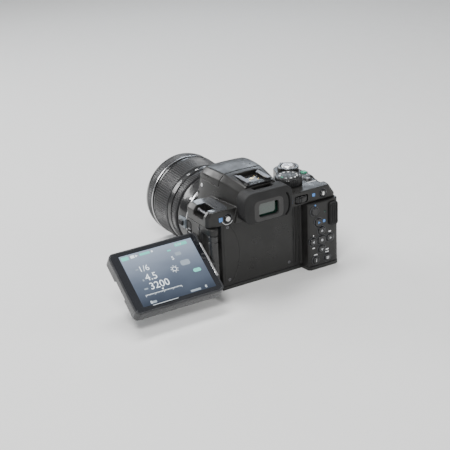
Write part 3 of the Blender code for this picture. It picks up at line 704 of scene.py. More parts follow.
def hump_details():
    """The ribbed ledge behind the shoe, the housing's fittings on its left flank, and the shoulder's glossy cap."""
    for i in range(5):
        y = -13.6 - i * 0.95
        add(f"ledge_rib_{i}", block((-12.5, y - 0.28, 89.2 + i * 0.02), (12.5, y + 0.28, 90.3 - i * 0.13)), "control",
            bevel=0.12, slot="body_black")
    stud = lathe([(0, 0.6), (1.5, 0.6), (1.5, -0.35), (1.2, -0.6), (0.6, -0.62), (0.45, -0.3), (0, -0.28)], (0, 0, 0),
        "Y", 36)
    add("flank_stud", stud, "satin", matrix=flank_point(32.8, 77.5))
    port = lathe([(0.9, 0.5), (1.45, 0.5), (1.45, -0.2), (1.2, -0.35), (0.9, -0.2)], (0, 0, 0), "Y", 36, closed=True)
    add("microphone_rim", port, "control", matrix=flank_point(37.5, 70), slot="body_black")
    # A near-black disc in the microphone hole: painted shade, not a part.
    mic_shade_shape = lathe([(0, 0.4), (0.95, 0.4), (0.95, 0), (0, 0)], (0, 0, 0), "Y", 24)
    add("microphone_shade_disc", mic_shade_shape, "painted_shade", matrix=flank_point(37.5, 70))
    cap = extruded(eased([(-44, -13.8), (-27.4, -15.4), (-26.6, 15.6), (-40, 17), (-44.2, 14)], 2, 0.12, True), "XY",
        SHOULDER_TOP - 0.5, SHOULDER_TOP + 0.2)
    slot = slab("XY", 60, 80, -60, -9, -36.9, 7, 1.2)
    add("shoulder_cap", cut(cap, [slot]), "shoulder", bevel=0.18)


def flash():
    """The pop-up head: the front of the housing's roof."""
    below = block((-40, -40, 50), (40, 60, FLASH_SPLIT_Z))
    behind = block((-40, -40, 50), (40, FLASH_SPLIT_Y, 110))
    recess = block((-14, 31, 70), (14, 39, FLASH_SPLIT_Z + 0.3))
    mesh = moulded([hump()], [below, behind, recess], smooth=3, keep=0.4)
    add("flash_shell", mesh, "hump", "flash_head", ["flash_head"], sharp=0)
    lamp = slab("XZ", 33, 38, -13, 78, 13, FLASH_SPLIT_Z - GAP, 1)
    add("flash_lamp", lamp, "lamp", "flash_head", ["flash_window"], bevel=0.3)
    fins = joined(*[block((-12 + 1.5 * i, 37.9, 78.6), (-11.4 + 1.5 * i, 38.35, 82.2)) for i in range(17)])
    add("flash_fins", fins, "lamp", "flash_head", bevel=0.08)


def shoe():
    floor, roof = 88, 92
    half, lip = 11.2, 7.2
    outline = [(-half, floor), (half, floor), (half, roof), (lip, roof), (lip, roof - 1), (half - 1, roof - 1),
        (half - 1, floor + 0.9), (-half + 1, floor + 0.9), (-half + 1, roof - 1), (-lip, roof - 1), (-lip, roof),
        (-half, roof)]
    rail = cut(extruded(outline, "XZ", -17, 2.8), [block((-lip - 2, 0.6, 90.6), (lip + 2, 5, 95))])
    add("shoe_rails", rail, "dark_steel", nodes=["hot_shoe"], bevel=0.18)
    pad = slab("XY", 88.95, 89.25, -8.2, -13.5, 8.2, 2, 1.5)
    add("shoe_pad", pad, "control", bevel=0.08)
    contacts = [rod((x, y, 89.2), "Z", r, 0.28, 28, 0.08) for x, y,
        r in ((0, -5.5, 1.6), (4.3, -2.2, 0.9), (-4.3, -2.2, 0.9), (4.3, -9, 0.9), (-4.3, -9, 0.9))]
    add("shoe_contacts", joined(*contacts), "gold")
    springs = []
    for side in (-1, 1):
        x0, x1 = sorted((side * 8.3, side * 9.9))
        springs.append(block((x0, -14.5, 90.35), (x1, -1, 90.75)))
    add("shoe_springs", joined(*springs), "steel", bevel=0.12)


def eyepiece():
    cup = [slab("XZ", -31, -18.3, -22.5, 61.4, 22.5, 87.6, 7.5)]
    cuts = [slab("XZ", -40, -10, -13, 62.9, 13, 79.4, 3.6), block((-9, -24, 81.5), (9, -10, 95))]
    groove_out = eased([(15.5, 62), (18.6, 65.5), (19.6, 71), (19, 77.5), (16.5, 81.5)], 3)
    cuts.append(extruded(wall(groove_out, -0.75, 0.75), "XZ", -33, -28.6))
    cup_mesh = moulded(cup, cuts, smooth=9, keep=0.4)
    add("eye_cushion", cup_mesh, "rubber", nodes=["eyecup"], sharp=0)
    frame_ring = cut(slab("XZ", -30.9, -29, -14.6, 62.3, 14.6, 80.6, 4.2),
        [slab("XZ", -40, -10, -9.2, 65.6, 9.2, 77.2, 2.2)])
    add("eye_frame", frame_ring, "eye_rim", bevel=0.7, segments=4)
    glass = slab("XZ", -16.5, -12, -12.2, 63.8, 12.2, 78.2, 2.8)
    add("eye_glass", glass, "eye_glass", nodes=["eyepiece_lens"], bevel=0.4)
    tunnel = cut(slab("XZ", -28.9, -16.8, -12.9, 63, 12.9, 79, 3.4),
        [slab("XZ", -40, -10, -9.8, 65.2, 9.8, 77.6, 2.4)])
    add("eye_tunnel", tunnel, "matt", slot="rubber_black", bevel=0.3)
    pane = slab("XZ", -27.6, -26.9, -9.7, 65.3, 9.7, 77.5, 2.3)
    add("eye_pane", pane, "eye_coat", bevel=0.15)
    ribs = [block((-4.2 + i * 0.95, -21, 82.5), (-3.75 + i * 0.95, -20.3, 84.9)) for i in range(9)]
    slider = joined(slab("XZ", -20.6, -16, -4.5, 82.3, 4.5, 85.1, 0.8), *ribs)
    add("diopter_knob", slider, "control", "diopter_slider", ["diopter_slider"], bevel=0.1)


# ---- controls

def key_cap(name, x, z, radius, face):
    """A round push key with a dished top and a rounded rim."""
    rim = [(0, 4.2), (radius, 4.2), (radius, -0.75), (radius - 0.16, -1.08), (radius - 0.5, -1.28)]
    dish = [(radius * 0.75, -1.3), (radius * 0.5, -1.2), (radius * 0.25, -1.12), (0, -1.1)]
    add(name.replace("_button", "") + "_key", lathe(rim + dish, (x, face, z), "Y", 40), "control", name, [name])


def collar(name, x, z, radius, face):
    ring = lathe([(radius + 0.35, 0.3), (radius + 1.15, 0.3), (radius + 1.05, -0.28), (radius + 0.8, -0.42),
        (radius + 0.45, -0.3)], (x, face, z), "Y", 48, closed=True)
    add(name + "_collar", ring, "bezel")


def ink(name, outlines, face, look, body=BODY, thick=0.1):
    """Printed marks on a face that looks along -Y."""
    shapes = [extruded(o, "XZ", face - thick, face + 0.05) for o in outlines]
    add(name, joined(*shapes), look, body)


def ring_outline_pieces(x, z, radius, width, count=24, start=0, end=360):
    """A drawn arc as short quads."""
    step = (end - start) / count
    return [[polar(x, z, r, start + step * k) for r, k in ((radius, i), (radius + width, i), (radius + width, i + 1),
        (radius, i + 1))] for i in range(count)]


def triangle(x, z, size, turn):
    return [polar(x, z, size, turn + k * 120) for k in range(3)]


def rear_controls():
    for key in KEYS:
        key_cap(*key)
        collar(*key)
    for key in HIGH_KEYS:
        key_cap(*key)
    # The flash key's pale dome is a painted highlight on the key; the raw key's pale oval is its own colour.
    highlight_dome_shape = lathe([(0, 0), (2.1, 0), (2.1, -1.15), (1.8, -1.5), (1, -1.62), (0, -1.65)], (0, 0, 0), "Y", 32)
    add("flash_key_highlight_dome", highlight_dome_shape, "pale_key_and_highlight", "flash_button", matrix=Matrix.Translation((-30, -16, 65.5)))
    oval = slab("XZ", -18.45, -17.6, 60.1, 64.3, 61.9, 67.7, 0.88, 8)
    add("raw_key_inlay", oval, "pale_key_and_highlight", "raw_button", bevel=0.2)
    for key in HIGH_KEYS:
        collar(*key)
    top = CONTROL_Y - 1.12
    for (name, x, z, _, _), turn in zip(KEYS[1:5], (90, 270, 180, 0)):
        ink(name + "_mark", [triangle(x, z, 1.3, turn)], top, "silver_ink", name)
    ink("ok_mark", [circle(PAD_X, PAD_Z, 1.1, 20)], top, "silver_ink", "ok_button")
    ink("play_mark", [triangle(54, 42.5, 1.3, 0)], top, "blue_ink", "play_button")
    lines = [rounded(61.2, 7.4 + k * 0.95, 63.8, 7.8 + k * 0.95, 0.12, 2) for k in range(3)]
    ink("menu_mark", lines, top, "white_ink", "menu_button")
    ink("info_mark", [rounded(50.75, 7.4, 51.25, 9.3, 0.1, 2), circle(51, 10, 0.35, 12)], top, "white_ink",
        "info_button")
    labels = {"white_ink": [rounded(60, 15.4, 64.2, 16.5, 0.3, 3), rounded(49.2, 13.2, 52.8, 14, 0.3, 3),
        rounded(60.7, 13.2, 64.3, 14, 0.3, 3), circle(49, 31.5, 0.6, 12), rounded(64.2, 31, 66.6, 32.2, 0.2, 3),
        rounded(47.8, 19.6, 50.2, 20.6, 0.2, 3)], "blue_ink": [rounded(58.6, 41.3, 61, 43.7, 0.5, 3),
        circle(51.2, 58.2, 0.7, 12)],}
    for look, outlines in labels.items():
        ink("rear_labels_" + look[:4], outlines, CONTROL_Y - 0.02, look)
    led = lathe([(0, 0.4), (0.85, 0.4), (0.85, -0.1), (0.5, -0.35), (0, -0.4)], (60.5, CONTROL_Y, 51), "Y", 24)
    add("access_lamp", led, "eye_glass")
    ribs = []
    for i in range(4):
        ribs.append(slab("XZ", CONTROL_Y - 2.35, CONTROL_Y - 1, 65.6 + 1.9 * i, 38.6, 66.7 + 1.9 * i, 56.4, 0.5, 4))
    base = slab("XZ", CONTROL_Y - 1.7, CONTROL_Y - GAP, 64.5, 37, 73, 58, 2.5)
    add("thumb_pad", base, "rubber", nodes=["thumb_rest"], bevel=0.5, segments=3)
    add("thumb_ribs", joined(*ribs), "rubber", bevel=0.3)
    high = [("blue_ink", -16.02, [rounded(-37.8, 64, -34.6, 67.4, 0.4, 3)]),
        ("white_ink", -16.02, ring_outline_pieces(-30, 65.5, 4.9, 0.35, 18, 200, 330)),
        ("blue_ink", -17.02, [rounded(29.4, 63, 31.2, 66.4, 0.3, 3), rounded(50.6, 65, 53.4, 67.6, 0.3, 3)])]
    for i, (look, face, outlines) in enumerate(high):
        ink(f"high_label_{i}", outlines, face, look)


def deck_print(name, outlines, look="white_ink", body=BODY, low=-0.1, high=0.08):
    """Printed marks that lie flat, at heights above the deck."""
    add(name, joined(*[extruded(o, "XY", DECK_TOP + low, DECK_TOP + high) for o in outlines]), look, body)


def wheel(name, spec, body):
    x, y, z, radius, thick = spec
    profile = [(0, 0), (radius - 0.9, 0), (radius - 0.1, 0.7), (radius, 1), (radius, thick - 1),
        (radius - 0.1, thick - 0.7), (radius - 0.9, thick), (0, thick)]
    shape = lathe(profile, (x, y, z), "Z", ribs=30, rib_rows=(2, 3, 4, 5), rib_depth=0.55)
    add(name + "_knurl", shape, "control", body, [body], sharp=28)


def deck_controls():
    r = DIAL_R
    profile = [(0, -3.5), (3.6, -3.5), (3.6, GAP), (r - 0.5, GAP), (r, 0.8), (r, 5.9), (r - 0.35, 6.5), (r - 0.9, 7),
        (r - 1.6, 7.15), (r - 2, 7), (0, 7)]
    dial = lathe(profile, DIAL, "Z", ribs=44, rib_rows=(3, 4, 5, 6), rib_depth=0.45)
    add("dial_knurl", dial, "control", "mode_dial", ["mode_dial"], sharp=28)
    cap = lathe([(0, 6.9), (r - 2.2, 6.9), (r - 2.2, 7.2), (r - 2.6, 7.34), (0, 7.38)], DIAL, "Z", 72)
    add("dial_face", cap, "hump", "mode_dial", slot="control_black")
    marks = {"white_ink": [], "green_ink": []}
    icons = 11
    for i in range(icons):
        a = math.tau * i / icons
        turn = Matrix.Translation((DIAL.x, DIAL.y, 0)) @ Matrix.Rotation(a, 4, "Z") @ Matrix.Translation((0, 7.2, 0))
        kinds = [[rounded(-0.95, -0.6, 0.95, 0.6, 0.2, 3)], [triangle(0, 0, 1.15, 90)], [circle(0, 0, 0.85, 20)],
            [rounded(-0.9, -0.75, -0.45, 0.75, 0.1, 2), rounded(0.45, -0.75, 0.9, 0.75, 0.1, 2),
            rounded(-0.5, -0.2, 0.5, 0.2, 0.1, 2)], [rounded(-0.25, -0.9, 0.25, 0.9, 0.1, 2),
            rounded(-0.9, 0.35, 0.9, 0.8, 0.1, 2)]]
        shapes = [extruded(o, "XY", DECK_TOP + 7.3, DECK_TOP + 7.45) for o in kinds[i % len(kinds)]]
        look = "green_ink" if i == 3 else "white_ink"
        marks[look] += [moved(s, turn) for s in shapes]
    for look, shapes in marks.items():
        add("dial_icons_" + look[:5].strip("_"), joined(*shapes), look, "mode_dial")
    deck_print("dial_index", [rounded(52.8, 8.4, 56.4, 9.1, 0.3, 3)])

    lever = [(6.5, GAP), (9.1, GAP), (9.2, 0.6), (9.2, 2.6), (8.8, 3.1), (7, 3.3), (6.5, 3.1)]
    ring = lathe(lever, SHUTTER, "Z", 72, closed=True)
    tab = slab("XY", DECK_TOP + GAP, DECK_TOP + 2.6, SHUTTER.x - 1.6, SHUTTER.y + 8.2, SHUTTER.x + 1.6,
        SHUTTER.y + 12, 1.2)
    add("power_collar", cut(ring, [tab], "UNION"), "control", "power_lever", ["power_lever"], bevel=0.2)
    tick = rounded(SHUTTER.x - 0.35, SHUTTER.y + 8.9, SHUTTER.x + 0.35, SHUTTER.y + 11.2, 0.2, 3)
    deck_print("power_tick", [tick], body="power_lever", low=2.55, high=2.72)
    cap = [(0, -4), (3.8, -4), (3.8, 1.2), (5.7, 1.2), (6, 1.5), (6, 2.9), (5.7, 3.5), (5, 4), (4.2, 4.25),
        (3.2, 4.2), (1.6, 3.95), (0, 3.85)]
    add("release_cap", lathe(cap, SHUTTER, "Z", 72), "satin", "shutter_button", ["shutter_button"], "silver_button")
    for name, x, y, radius in TOP_KEYS:
        profile = [(0, -4), (radius, -4), (radius, 0.75), (radius - 0.2, 1.1), (radius - 0.55, 1.28),
            (radius * 0.6, 1.2), (0, 1.05)]
        look = "green" if name == "green_button" else "control"
        add(name.replace("_button", "") + "_key", lathe(profile, (x, y, DECK_TOP), "Z", 40), look, name, [name])
        rim = [(radius + 0.32, -0.3), (radius + 1, -0.3), (radius + 0.95, 0.2), (radius + 0.6, 0.32),
            (radius + 0.36, 0.2)]
        add(name + "_collar", lathe(rim, (x, y, DECK_TOP), "Z", 48, closed=True), "bezel")
    wheel("rear", REAR_WHEEL, "rear_wheel")
    wheel("front", FRONT_WHEEL, "front_wheel")
    deck_print("deck_labels", [rounded(55.5, -3.4, 64, -2.7, 0.3, 3), rounded(56.5, 9.6, 60, 10.4, 0.3, 3),
        circle(66, 13.2, 0.5, 12)])
    plus = [rounded(59.2, 3.2, 60.8, 3.8, 0.1, 2), rounded(59.7, 2.7, 60.3, 4.3, 0.1, 2)]
    deck_print("exposure_mark", plus, body="exposure_button", low=1, high=1.3)


# ---- lens

def lens():
    at = (0, 0, AXIS_Z)
    place = Matrix.Translation(at)

    def turning(profile, steps):
        return lathe(profile, at, "Y", steps, closed=True)

    def ribbed(profile, depth, rows=(2, 3, 4, 5)):
        return lathe(profile, at, "Y", ribs=RING_RIBS, closed=True, rib_rows=rows, rib_depth=depth)

    base = [(16.5, 38.3), (21.8, 38.3), (21.8, 45.8), (30.2, 45.8), (30.6, 46.2), (31, 47.4), (32, 48.4), (32.6, 52),
        (33.2, 57), (33.6, 60.6), (33.6, 63), (33.2, 63.9), (30.6, 64), (30.6, 100), (28.6, 100), (28.6, 56),
        (16.5, 48)]
    add("barrel_base", turning(base, 144), "barrel", nodes=["lens_base"], sharp=30)
    add("barrel_band", turning([(32.3, 48.6), (32.95, 48.7), (33.05, 49.7), (32.3, 49.8)], 144), "steel")
    # The switch bed's blue-grey colour is a painted reflection.
    plate = slab("YZ", -34.3, -30.5, 48.8, AXIS_Z - 4.5, 59.7, AXIS_Z + 4.5, 1)
    add("switch_bed", plate, "plate", bevel=0.25)
    knob = joined(slab("YZ", -35.8, -34.5, 51.5, AXIS_Z - 2.2, 57, AXIS_Z + 2.2, 0.8),
        *[block((-36.2, 52.4 + 0.95 * i, AXIS_Z - 1.8), (-35.7, 52.85 + 0.95 * i, AXIS_Z + 1.8)) for i in range(5)])
    add("switch_knob", knob, "control", "focus_switch", ["focus_switch"], bevel=0.12)
    focus = [(30.9, 64.4), (34.2, 64.4), (34.7, 64.8), (35, 65.2), (35, 71.6), (34.7, 72), (34.2, 72.4), (30.9, 72.4)]
    add("focus_grip", ribbed(focus, 0.7), "ribs", "focus_ring", ["focus_ring"], sharp=28)
    zoom_core = [(30.9, 73), (34.6, 73), (35, 73.3), (35.4, 77.9), (35.2, 78.3), (35.2, 100.6), (36, 100.9),
        (36, 102.6), (35.7, 103), (30.9, 103)]
    add("zoom_core", turning(zoom_core, 144), "barrel", "zoom_ring", ["zoom_ring"], "rubber_black", sharp=30)
    grip = [(35.1, 78.6), (35.9, 78.6), (36.2, 79), (LENS_R, 98.6), (36.4, 100.2), (36.2, 100.5), (35.1, 100.5)]
    add("zoom_grip", ribbed(grip, 0.85), "ribs", "zoom_ring", sharp=28)
    figures = []
    for text, turn in (("18", 40), ("24", 22), ("35", 6), ("50", -10), ("70", -24), ("135", -40)):
        spot_on_ring = place @ turned(turn, "Y") @ Matrix.Translation((0, 75.6, 35.25))
        figures.append(moved(lettering(text, 3), spot_on_ring @ turned(180, "Z")))
    add("zoom_figures", joined(*figures), "white_ink", "zoom_ring")
    index = moved(block((-0.35, 60, 33.4), (0.35, 63.2, 33.66)), place)
    add("zoom_index", index, "white_ink")
    dot = rod((0, 0, 0), "Z", 1.1, 0.9, 28, 0.3)
    add("mount_dot", moved(dot, place @ turned(-52, "Y") @ Matrix.Translation((0, 52, 32.3))), "satin")

    tube = [(26.2, 66), (28.3, 66), (28.3, 103.3), (36, 103.3), (36.4, 103.5), (36.4, 105.6), (36.1, 106),
        (36.1, 106.6), (36.1, 113.6), (36.3, 113.9), (36, 116.6), (35.4, 117.7), (34.9, 118), (32.2, 118),
        (31.7, 117.7), (31.5, 117.2)]
    for i in range(4):
        y = 116.8 - i * 0.6
        tube += [(31.5, y), (31.9, y - 0.2), (31.5, y - 0.4)]
    tube += [(31.4, 114.2)]
    for i in range(5):
        tube += [(31 - i, 114 - i * 0.2), (30.4 - i, 114 - i * 0.2), (30.4 - i, 113.6 - i * 0.2)]
    tube += [(26.2, 112.6)]
    add("front_barrel", turning(tube, 144), "barrel", "inner_barrel", ["inner_barrel"], sharp=30)
    band = [(35.9, 106.7), (36.4, 106.7), (36.75, 107), (36.75, 113.1), (36.4, 113.4), (35.9, 113.4)]
    add("front_band", ribbed(band, 0.5, (2, 3)), "ribs", "inner_barrel", sharp=28)
    ring = [(36.2, 103.7), (36.85, 103.8), (36.9, 104), (36.9, 105), (36.85, 105.2), (36.2, 105.3)]
    add("silver_band", turning(ring, 144), "steel", "inner_barrel")
    dome = [(0, 107), (25.9, 107), (25.9, 109.6)]
    dome += [polar(0, 109.8, 25.9, a, 3.2 / 25.9) for a in range(6, 91, 7)]
    add("front_element", lathe(dome + [(0, 113)], at, "Y", 96), "lens_glass", "inner_barrel", ["front_glass"])
    rear = [(0, 39.4), (5, 39.5), (9, 39.9), (13, 40.4), (16.2, 41.2), (16.2, 45), (0, 45)]
    add("rear_element", lathe(rear, at, "Y", 72), "lens_glass", nodes=["rear_glass"])
    iris = []
    for i in range(7):
        blade = extruded([(4, -9), (25, -14), (25, 4), (9, 7)], "XZ", 80 + i * 0.12, 80.1 + i * 0.12)
        iris.append(moved(blade, place @ turned(360 * i / 7, "Y")))
    add("iris_blades", joined(*iris), "dark_steel")
    second = [(0, 95), (22, 95), (22, 97)]
    second += [polar(0, 97, 22, a, 2.6 / 22) for a in range(8, 91, 9)]
    add("second_element", lathe(second + [(0, 99.7)], at, "Y", 72), "inner_glass", "inner_barrel")
    cells = [(22.2, 90), (26, 90), (26, 106.6), (24.6, 106.6), (23.4, 102.5), (22.2, 99)]
    add("lens_cell", turning(cells, 96), "matt", "inner_barrel")
    add("mount_face", turning([(22.6, 44.5), (31.2, 44.5), (31.5, 44.7), (31.5, 45.2), (31.2, 45.4), (22.6, 45.4)],
        128), "steel", nodes=["lens_mount_ring"])
    x, z = RELEASE
    cap = [(0, 0), (3.3, 0), (3.3, 6.2), (3, 6.8), (2.4, 7), (0, 6.8)]
    add("release_key", lathe(cap, (x, FRONT_Y - 4.5, z), "Y", 40), "control", "lens_release_button",
        ["lens_release_button"])


# ---- sides

def sides():
    for name, side, y0, y1, z0, z1 in PORTS:
        out = math.copysign(1, side)
        low, high = sorted((side, side - 1.6 * out))
        lid = slab("YZ", low, high, y0 + GAP, z0 + GAP, y1 - GAP, z1 - GAP, 1.5)
        lip_y = y0 + 0.9 if name != "card_door" else y1 - 1.6
        scoop = slab("YZ", side - 0.6 * out, side + 1 * out, lip_y, (z0 + z1) / 2 - 3.5, lip_y + 0.9,
            (z0 + z1) / 2 + 3.5, 0.44, 4)
        add(name + "_lid", cut(lid, [scoop]), "leather" if name == "card_door" else "rubber", name, [name],
            bevel=0.35, segments=3)
    dashes = {door: [rounded(y, z, y + 3.6, z + 0.5, 0.24, 3) for z in heights] for door, y,
        heights in (("upper", 13.6, (44, 47, 50)), ("lower", 9, (28, 25)))}
    dashes["lower"] += ring_outline_pieces(10.8, 14, 1.2, 0.35, 20)
    for door, outlines in dashes.items():
        marks = joined(*[extruded(o, "YZ", LEFT - 0.12, LEFT + 0.4) for o in outlines])
        add(door + "_port_marks", marks, "silver_ink", "port_door_" + door)

    def socket(shell, hole):
        return cut(slab("YZ", LEFT + 2.2, LEFT + 3.4, *shell), [slab("YZ", LEFT + 1, LEFT + 3, *hole)])

    jack = lathe([(1.7, 0), (2.6, 0), (2.6, 1.2), (1.7, 1.2)], (LEFT + 2.3, 11, 30), "X", 32, closed=True)
    add("upper_socket", socket((13.2, 43, 17.2, 52, 0.8), (14, 44, 16.4, 51, 0.5)), "steel", bevel=0.1)
    add("lower_jack", jack, "steel", bevel=0.1)
    add("lower_socket", socket((7, 12, 14, 22, 0.8), (8.6, 13.4, 12.4, 20.6, 0.6)), "steel", bevel=0.1)
    # Near-black blocks behind the port doors: painted shade in the bays.
    port_shade_blocks = [block((LEFT + 3.4, 2.7, 7.2), (LEFT + 4, 18.4, 35.8)),
        block((LEFT + 3.4, 12.2, 40.2), (LEFT + 4, 18.4, 56.8)), block((RIGHT - 4, 1.7, 10.2),
        (RIGHT - 3.4, 21.8, 45.8))]
    add("port_bay_shade", joined(*port_shade_blocks), "painted_shade")
    card = cut(block((RIGHT - 3.4, 4, 13), (RIGHT - 2.2, 10, 43)), [block((RIGHT - 3.6, 5.6, 15),
        (RIGHT - 1, 8.4, 41))])
    add("card_slot", card, "alloy", bevel=0.2)
    # Near-black dots on the left side stand for the speaker holes: painted shade, nothing is cut.
    speaker_shade_shapes = joined(*[lathe([(0, -0.2), (0.5, -0.2), (0.5, 0.15), (0, 0.15)], (LEFT, 6 + 1.6 * i, 44 + 1.6 * k), "X",
        14) for i in range(3) for k in range(4)])
    add("speaker_shade_dots", speaker_shade_shapes, "painted_shade")
    for i, (y, z) in enumerate(((-0.4, 8), (-0.4, 56), (20.8, 38))):
        screw(f"left_screw_{i}", (LEFT, y, z), "X", 1.2, -1)


def grip():
    path = eased([(45.6, 28.6), *GRIP_PATH[1:], (RIGHT, 24.5)], 3)
    solids = [extruded(wall(path, GAP, 1.7), "XY", 6, 58)]
    mesh = moulded(solids, smooth=5, keep=0.5)
    add("grip_rubber", mesh, "leather", nodes=["grip_skin"], sharp=0)


def strap_lugs():
    for name, x, y, z in (("strap_bar_left", -43, -8.7, 69), ("strap_bar_right", 70.6, -7.7, 66.6)):
        bar = lathe([(0, 0), (1.6, 0), (1.6, 1), (1.2, 1.4), (1.2, 14), (1.6, 14.4), (1.6, 15.4), (0, 15.4)],
            (x, y, z), "Y", 32)
        add(name + "_pin", bar, "dark_steel", nodes=[name], slot="metal")


# ---- screen

PANEL = Matrix.Translation(HINGE) @ turned(-SCREEN_TILT, "X")
FACE = -SCREEN_T / 2


def on_panel(name, shape, look, **options):
    add(name, shape, look, "screen", matrix=PANEL, **options)


def screen():
    x1 = -SCREEN_EDGE
    x0 = x1 - SCREEN_W
    h, t = SCREEN_H / 2, SCREEN_T / 2

    def sheet(margin, radius, steps, low, high):
        """A plate in the panel's outline, set in by the margin."""
        return slab("XZ", low, high, x0 + margin, -h + margin, x1 - margin, h - margin, radius, steps)

    shell = sheet(0, 4.5, 10, -t + 0.9, t)
    pocket = rod((x1 - 13.5, 0, 0), "X", 3.6, 30, 40)
    bed = sheet(2.2, 3, 8, t - 0.5, t + 3)
    grip_cut = slab("XZ", t - 2.4, t + 2, x0 - 1, -9, x0 + 2, 9, 0.9, 4)
    on_panel("panel_shell", cut(shell, [pocket, bed, grip_cut]), "bezel", nodes=["screen_housing"], bevel=0.7,
        segments=4)
    back = sheet(2.5, 2.7, 8, t - 0.9, t - 0.12)
    on_panel("panel_back", back, "leather", slot="body_black", bevel=0.2)
    ring = cut(sheet(0.15, 4.3, 10, -t + 0.1, -t + 1.2), [sheet(1.5, 3.2, 8, -t - 1, -t + 2)])
    on_panel("panel_rim", ring, "bezel", bevel=0.4, segments=3)
    glass = sheet(1.65, 3.1, 8, -t + 0.18, -t + 1.2)
    on_panel("panel_glass", glass, "cover_glass", nodes=["screen_glass"], bevel=0.12)
    lit = slab("XZ", -t + 0.1, -t + 0.5, x0 + LIT[0], -h + LIT[3], x1 - LIT[1], h - LIT[2], 0.3, 2)
    on_panel("panel_light", lit, "display")
    shaft = rod((x1 - 12.6, 0, 0), "X", 2.5, 12.9, 40, 0.4)
    add("tilt_pin", shaft, "steel", "tilt_shaft", ["tilt_shaft"], matrix=PANEL)
    washer = lathe([(2.8, 0), (3.1, 0), (3.2, 0.1), (3.2, 4.9), (3.1, 5), (2.8, 5)], (x1 - 8, 0, 0), "X", 48,
        closed=True)
    add("stop_washer", washer, "steel", "tilt_stop", ["tilt_stop_ring"], matrix=PANEL)
    for i, (x, z) in enumerate(((x0 + 6, h - 6), (x0 + 6, -h + 6), (x1 - 6, h - 6), (x1 - 6, -h + 6))):
        screw(f"panel_screw_{i}", (x, t - 0.12, z), "Y", 1.3, 1, "screen", PANEL)
    strip = block((x1 - 1.3, -t - 0.05, -15), (x1 + 0.3, -t + 0.75, 17))
    on_panel("panel_catch", strip, "satin", bevel=0.15)
    arm()
    display(x0, h)


def arm():
    x, y, z = HINGE
    barrel = [(0, 10), (3.5, 10), (3.9, 10.4), (3.9, 14.6), (3.6, 14.9), (3.6, 15.3), (3.9, 15.6), (3.9, 48.4),
        (3.6, 48.7), (3.6, 49.1), (3.9, 49.4), (3.9, 53.6), (3.5, 54), (0, 54)]
    neck = rod((x - SCREEN_EDGE + 0.6, y, z), "X", 3.6, SCREEN_EDGE - 1, 48)
    add("arm_barrel", cut(lathe(barrel, (x, y, 0), "Z", 64), [neck], "UNION"), "control", "screen_arm",
        ["screen_arm"], "body_black", sharp=30)


def display(x0, h):
    """What the screen shows: exposure figures, a scale and status icons, all generic."""
    face = FACE + 0.1

    def at(u, v):
        """From the left and the top of the lit area."""
        return x0 + LIT[0] + u, h - LIT[2] - v

    def shifted(outline, u, v):
        x, z = at(u, v)
        return [(a + x, b + z) for a, b in outline]

    def tags(rows):
        """Rounded tags, each with its left, top, width, height, corner radius and corner steps."""
        return [shifted(rounded(0, -tall, wide, 0, radius, steps), u, v) for u, v, wide, tall, radius, steps in rows]

    def show(name, outlines, look, low=0.05):
        on_panel(name, joined(*[extruded(o, "XZ", face - low, face + 0.02) for o in outlines]), look)

    stand = turned(90, "X")
    figures = []
    for text, size, u, v in (("1/6", 7.2, 15, 15.5), ("4.5", 8.6, 17.5, 24), ("3200", 8.6, 21, 32.2),
            ("5", 4.6, 41.5, 13.5), ("2", 3.2, 8, 45.2), ("0", 3.2, 56, 45.2)):
        x, z = at(u, v)
        figures.append(moved(lettering(text, size, 0.05), Matrix.Translation((x, face, z)) @ stand))
    on_panel("display_figures", joined(*figures), "icon", sharp=0)

    show("display_teal", tags([(1, 1.2, 6.4, 3.4, 0.8, 4), (17, 1.6, 9, 2.2, 0.4, 4), (48, 1.2, 11, 3, 0.6, 4),
        (52.5, 27.5, 6.6, 3.2, 1.4, 5), (40, 5.4, 3.2, 1.2, 0.3, 3)]), "teal_icon")
    bright = tags([(9, 1.5, 3.4, 2.6, 0.4, 4), (27.2, 1.8, 1.5, 1.5, 0.2, 3), (49, 2, 5.2, 1.4, 0.3, 3),
        (6, 38.2, 31.4, 0.25, 0.1, 1), (8, 47.8, 22, 0.3, 0.1, 1)])
    bright += tags([(6 + i * 1.3, 38.4, 0.28, 0.8 if i % 6 else 1.5, 0.1, 1) for i in range(25)])
    bright += [shifted(triangle(14, 0, 1.4, 0), 0, 2.8), shifted([(-0.9, 1.6), (0.9, 1.6), (0, 0)], 21.8, 37.6)]
    x, z = at(38.5, 23)
    bright += ring_outline_pieces(x, z, 1.5, 0.5, 20)
    bright += [circle(*polar(x, z, 2.9, 45 * k), 0.35, 10) for k in range(8)]
    show("display_marks", bright, "icon")
    show("display_dim", tags([(45.5, 17.5, 8, 4.8, 1.6, 5), (45, 9.2, 5, 3, 0.6, 4), (8, 14.4, 2.4, 1, 0.3, 3),
        (9.6, 24.4, 1.2, 1.6, 0.2, 3), (7.4, 32.4, 3.2, 1.2, 0.3, 3), (7, 44.4, 5.4, 2, 0.5, 4),
        (42, 44.8, 9, 1.8, 0.4, 3)]), "dim_icon", 0.03)


# ---- what the shells hold

def inside():
    for node_name, look in (("mirror_box", "alloy"), ("shutter_unit", "dark_steel"), ("image_sensor", "lens_glass"),
            ("main_board", "board"), ("pentaprism", "lens_glass"), ("battery", "control"), ("main_mirror", "steel")):
        repaint(node_name, look)


# ---- stage

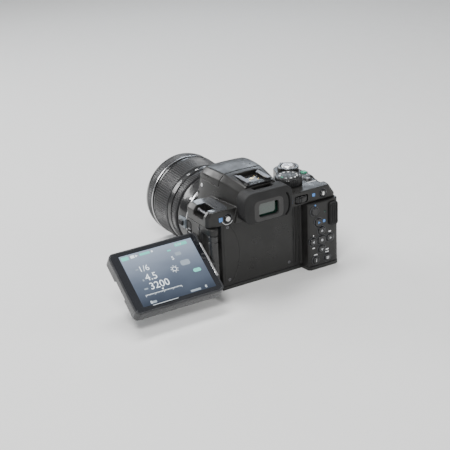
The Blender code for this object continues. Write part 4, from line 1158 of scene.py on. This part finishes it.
def area(name, at, target, size, power, colour=(1, 1, 1)):
    data = bpy.data.lights.new(name, "AREA")
    data.shape = "RECTANGLE"
    data.size, data.size_y = size
    data.energy = power
    data.color = colour
    obj = link_object(name, data)
    obj.location = at
    obj.rotation_euler = (Vector(target) - Vector(at)).to_track_quat("-Z", "Y").to_euler()


def stage():
    floor_shape = bmesh.new()
    bmesh.ops.create_grid(floor_shape, x_segments=2, y_segments=2, size=3)
    floor = link_object("floor", to_mesh(floor_shape, "floor"))
    floor.data.materials.append(material("floor_paper", (0.74, 0.74, 0.73), 0.75, 2, 0.02, vary=0.015))
    centre = (0, 0.02, 0.04)
    area("key_light", (-0.55, -0.65, 1.05), centre, (0.5, 0.35), 15)
    area("top_light", (-0.05, 0.3, 1.1), centre, (0.9, 0.35), 13)
    area("fill_light", (0.9, -0.5, 0.5), centre, (0.7, 0.7), 3.5)
    area("rim_light", (-0.46, 0.92, 0.52), centre, (0.55, 0.3), 6)
    area("cool_light", (0.46, 0.93, 0.5), centre, (0.5, 0.12), 1.6, (0.8, 0.89, 1))
    world = bpy.data.worlds.new("studio")
    bpy.context.scene.world = world
    world.use_nodes = True
    background = world.node_tree.nodes["Background"]
    background.inputs["Color"].default_value = (0.86, 0.88, 0.9, 1)
    background.inputs["Strength"].default_value = 0.26


def camera():
    """The photograph's view: from behind the camera's left shoulder, looking down."""
    azimuth, elevation, roll = math.radians(-29.61), math.radians(23.28), math.radians(-2.58)
    target, distance = Vector((-0.0117, 0.0206, 0.0424)), 1.0022
    back = Vector((math.sin(azimuth) * math.cos(elevation), -math.cos(azimuth) * math.cos(elevation),
        math.sin(elevation)))
    data = bpy.data.cameras.new("camera")
    data.lens = 96.37
    data.sensor_width = 36
    obj = link_object("camera", data)
    obj.location = target + back * distance
    obj.rotation_euler = (back.to_track_quat("Z", "Y").to_matrix() @ Matrix.Rotation(roll, 3, "Z")).to_euler()
    bpy.context.scene.camera = obj


camera()
stage()
front_shell()
rear_shell()
bottom_plate()
top_shell()
flash()
shoe()
eyepiece()
rear_controls()
deck_controls()
lens()
sides()
grip()
strap_lugs()
screen()
inside()
